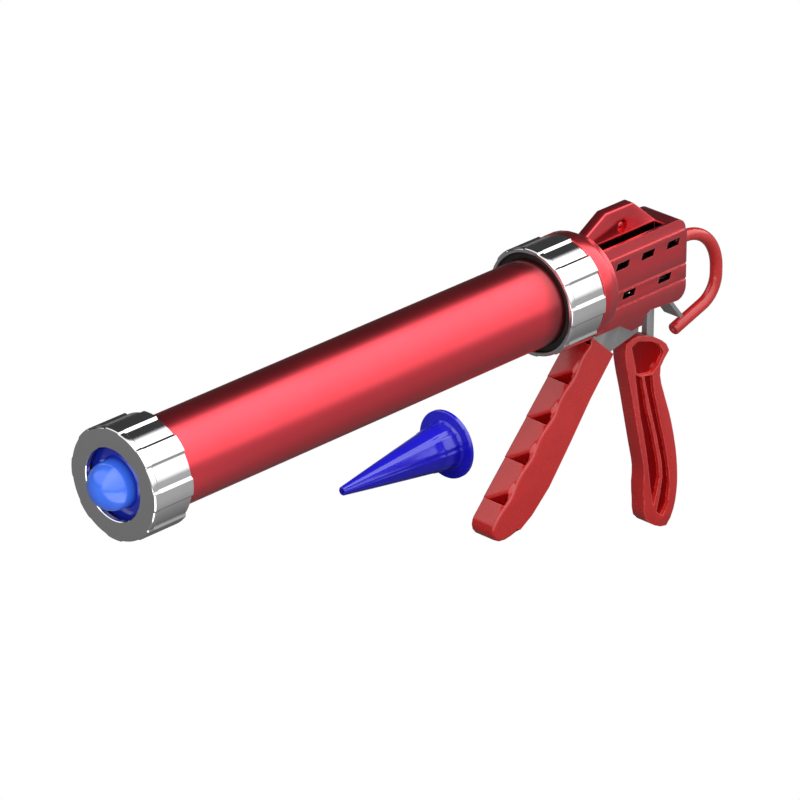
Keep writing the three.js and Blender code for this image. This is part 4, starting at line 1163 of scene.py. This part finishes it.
def sleeve_point(row, column, inner=False):
    """A place on the sleeve's outer skin, or on its plain inner skin."""
    kind, at = row
    where, t = column
    across = {"near": 1.0, "far": 0.0}.get(where, t)
    y = (SLEEVE_HALF - (SLEEVE_WALL if inner else 0.0)) * (1 - 2 * across)
    if kind == "foot":
        index = FOOT_PATH.index(at)
        blend = index / len(FOOT_PATH)
        inset = 3.0 if inner else corner_drop(across) + front_depth(1.5, across) * blend
        way = foot_inward(index)
        path_along, path_depth = at[0] + way[0] * inset, at[1] + way[1] * inset
        rear_along = 8.0 + 8.0 * blend
    else:
        path_along = at
        path_depth = FRONT_THICKNESS if inner else front_depth(at, across) + corner_drop(across)
        rear_along = 16.0 + (at - 1.5) * (SLEEVE_LENGTH - 16.0) / (SLEEVE_LENGTH - 1.5)
    if where != "front":
        path_along += (rear_along - path_along) * t
        path_depth += (between(REAR_EDGE, rear_along) - path_depth) * t
    return SLEEVE_FOOT + SLEEVE_UP * path_along + SLEEVE_IN * path_depth + Vector((0, y, 0))


def sleeve_skin(bm, inner):
    """A grid laid on one of the sleeve's skins. Gives its vertices."""
    skin = bmesh.ops.create_grid(bm, x_segments=len(columns) - 1, y_segments=len(rows) - 1,
                                 size=1.0)["verts"]
    for vert in skin:
        column = round((vert.co.x + 1) / 2 * (len(columns) - 1))
        row = round((vert.co.y + 1) / 2 * (len(rows) - 1))
        vert.co = sleeve_point(rows[row], columns[column], inner)
    return skin


bm = bmesh.new()
sleeve_skin(bm, False)
sleeve_skin(bm, True)
bmesh.ops.bridge_loops(bm, edges=[e for e in bm.edges if e.is_boundary])
add_piece(bm, "trigger_sleeve", "red_handle", smooth=32)

# %% [markdown]
# ## Nozzle
# A deep blue moulding that lies beside the gun: a thin flange, a short stepped base and a long cone
# with eight broad flats between narrow grooves, so that fingers can turn it.

# %% Nozzle
FLUTES = 8
FLUTE_TURN = math.radians(12)
nozzle_low, nozzle_high = extent("nozzle")
nozzle_axis = ((nozzle_low.y + nozzle_high.y) / 2, (nozzle_low.z + nozzle_high.z) / 2)
flange_radius = (nozzle_high.z - nozzle_low.z) / 2
rear, tip = nozzle_high.x, nozzle_low.x
base_end = rear - 17.0
NOZZLE_BASE = 16.2
CONE_BASE = 14.75
CONE_TIP = 3.0
CONE_RINGS = 14
nozzle_stations = [
    (rear, 14.7, 0.0), (rear, flange_radius - 0.5, 0.0), (rear - 0.5, flange_radius, 0.0),
    (rear - 2.5, flange_radius, 0.0), (rear - 3.0, flange_radius - 0.5, 0.0), (rear - 3.0, 16.6, 0.0),
    (rear - 3.4, NOZZLE_BASE, 0.3), (rear - 4.4, NOZZLE_BASE, 1.0)]
nozzle_stations += [(rear - 4.4 - 2.1 * i, NOZZLE_BASE - 0.1 * i, 1.0) for i in range(1, 6)]
cone_start = base_end - 1.9
nozzle_stations += [(base_end - 0.9, 15.2, 1.0), (cone_start, CONE_BASE, 1.0)]
for i in range(1, CONE_RINGS + 1):
    t = i / CONE_RINGS
    x = cone_start + (tip + 0.4 - cone_start) * t
    nozzle_stations.append((x, CONE_BASE + (CONE_TIP - CONE_BASE) * t, 1.0 - 0.6 * t))
nozzle_stations += [(tip, 2.6, 0.0), (tip, 1.5, 0.0), (base_end, 13.6, 0.0), (rear, 14.7, 0.0)]


def fluted(angle, station):
    """A cone with broad flats between narrow grooves."""
    x, radius, share = station
    half = math.pi / FLUTES
    from_middle = (angle + FLUTE_TURN) % (2 * half) - half
    flat = math.cos(half) / math.cos(from_middle)
    groove = math.exp(-(((half - abs(from_middle)) / 0.09) ** 2)) * 0.07
    return radius * (1 + share * (0.9 * (flat - 1.0) - groove))


nozzle = ring_stack(nozzle_stations, 192, fluted)
bmesh.ops.translate(nozzle, verts=nozzle.verts, vec=(0, nozzle_axis[0], nozzle_axis[1]))
add_piece(nozzle, "nozzle", "deep_blue_plastic", smooth=25)
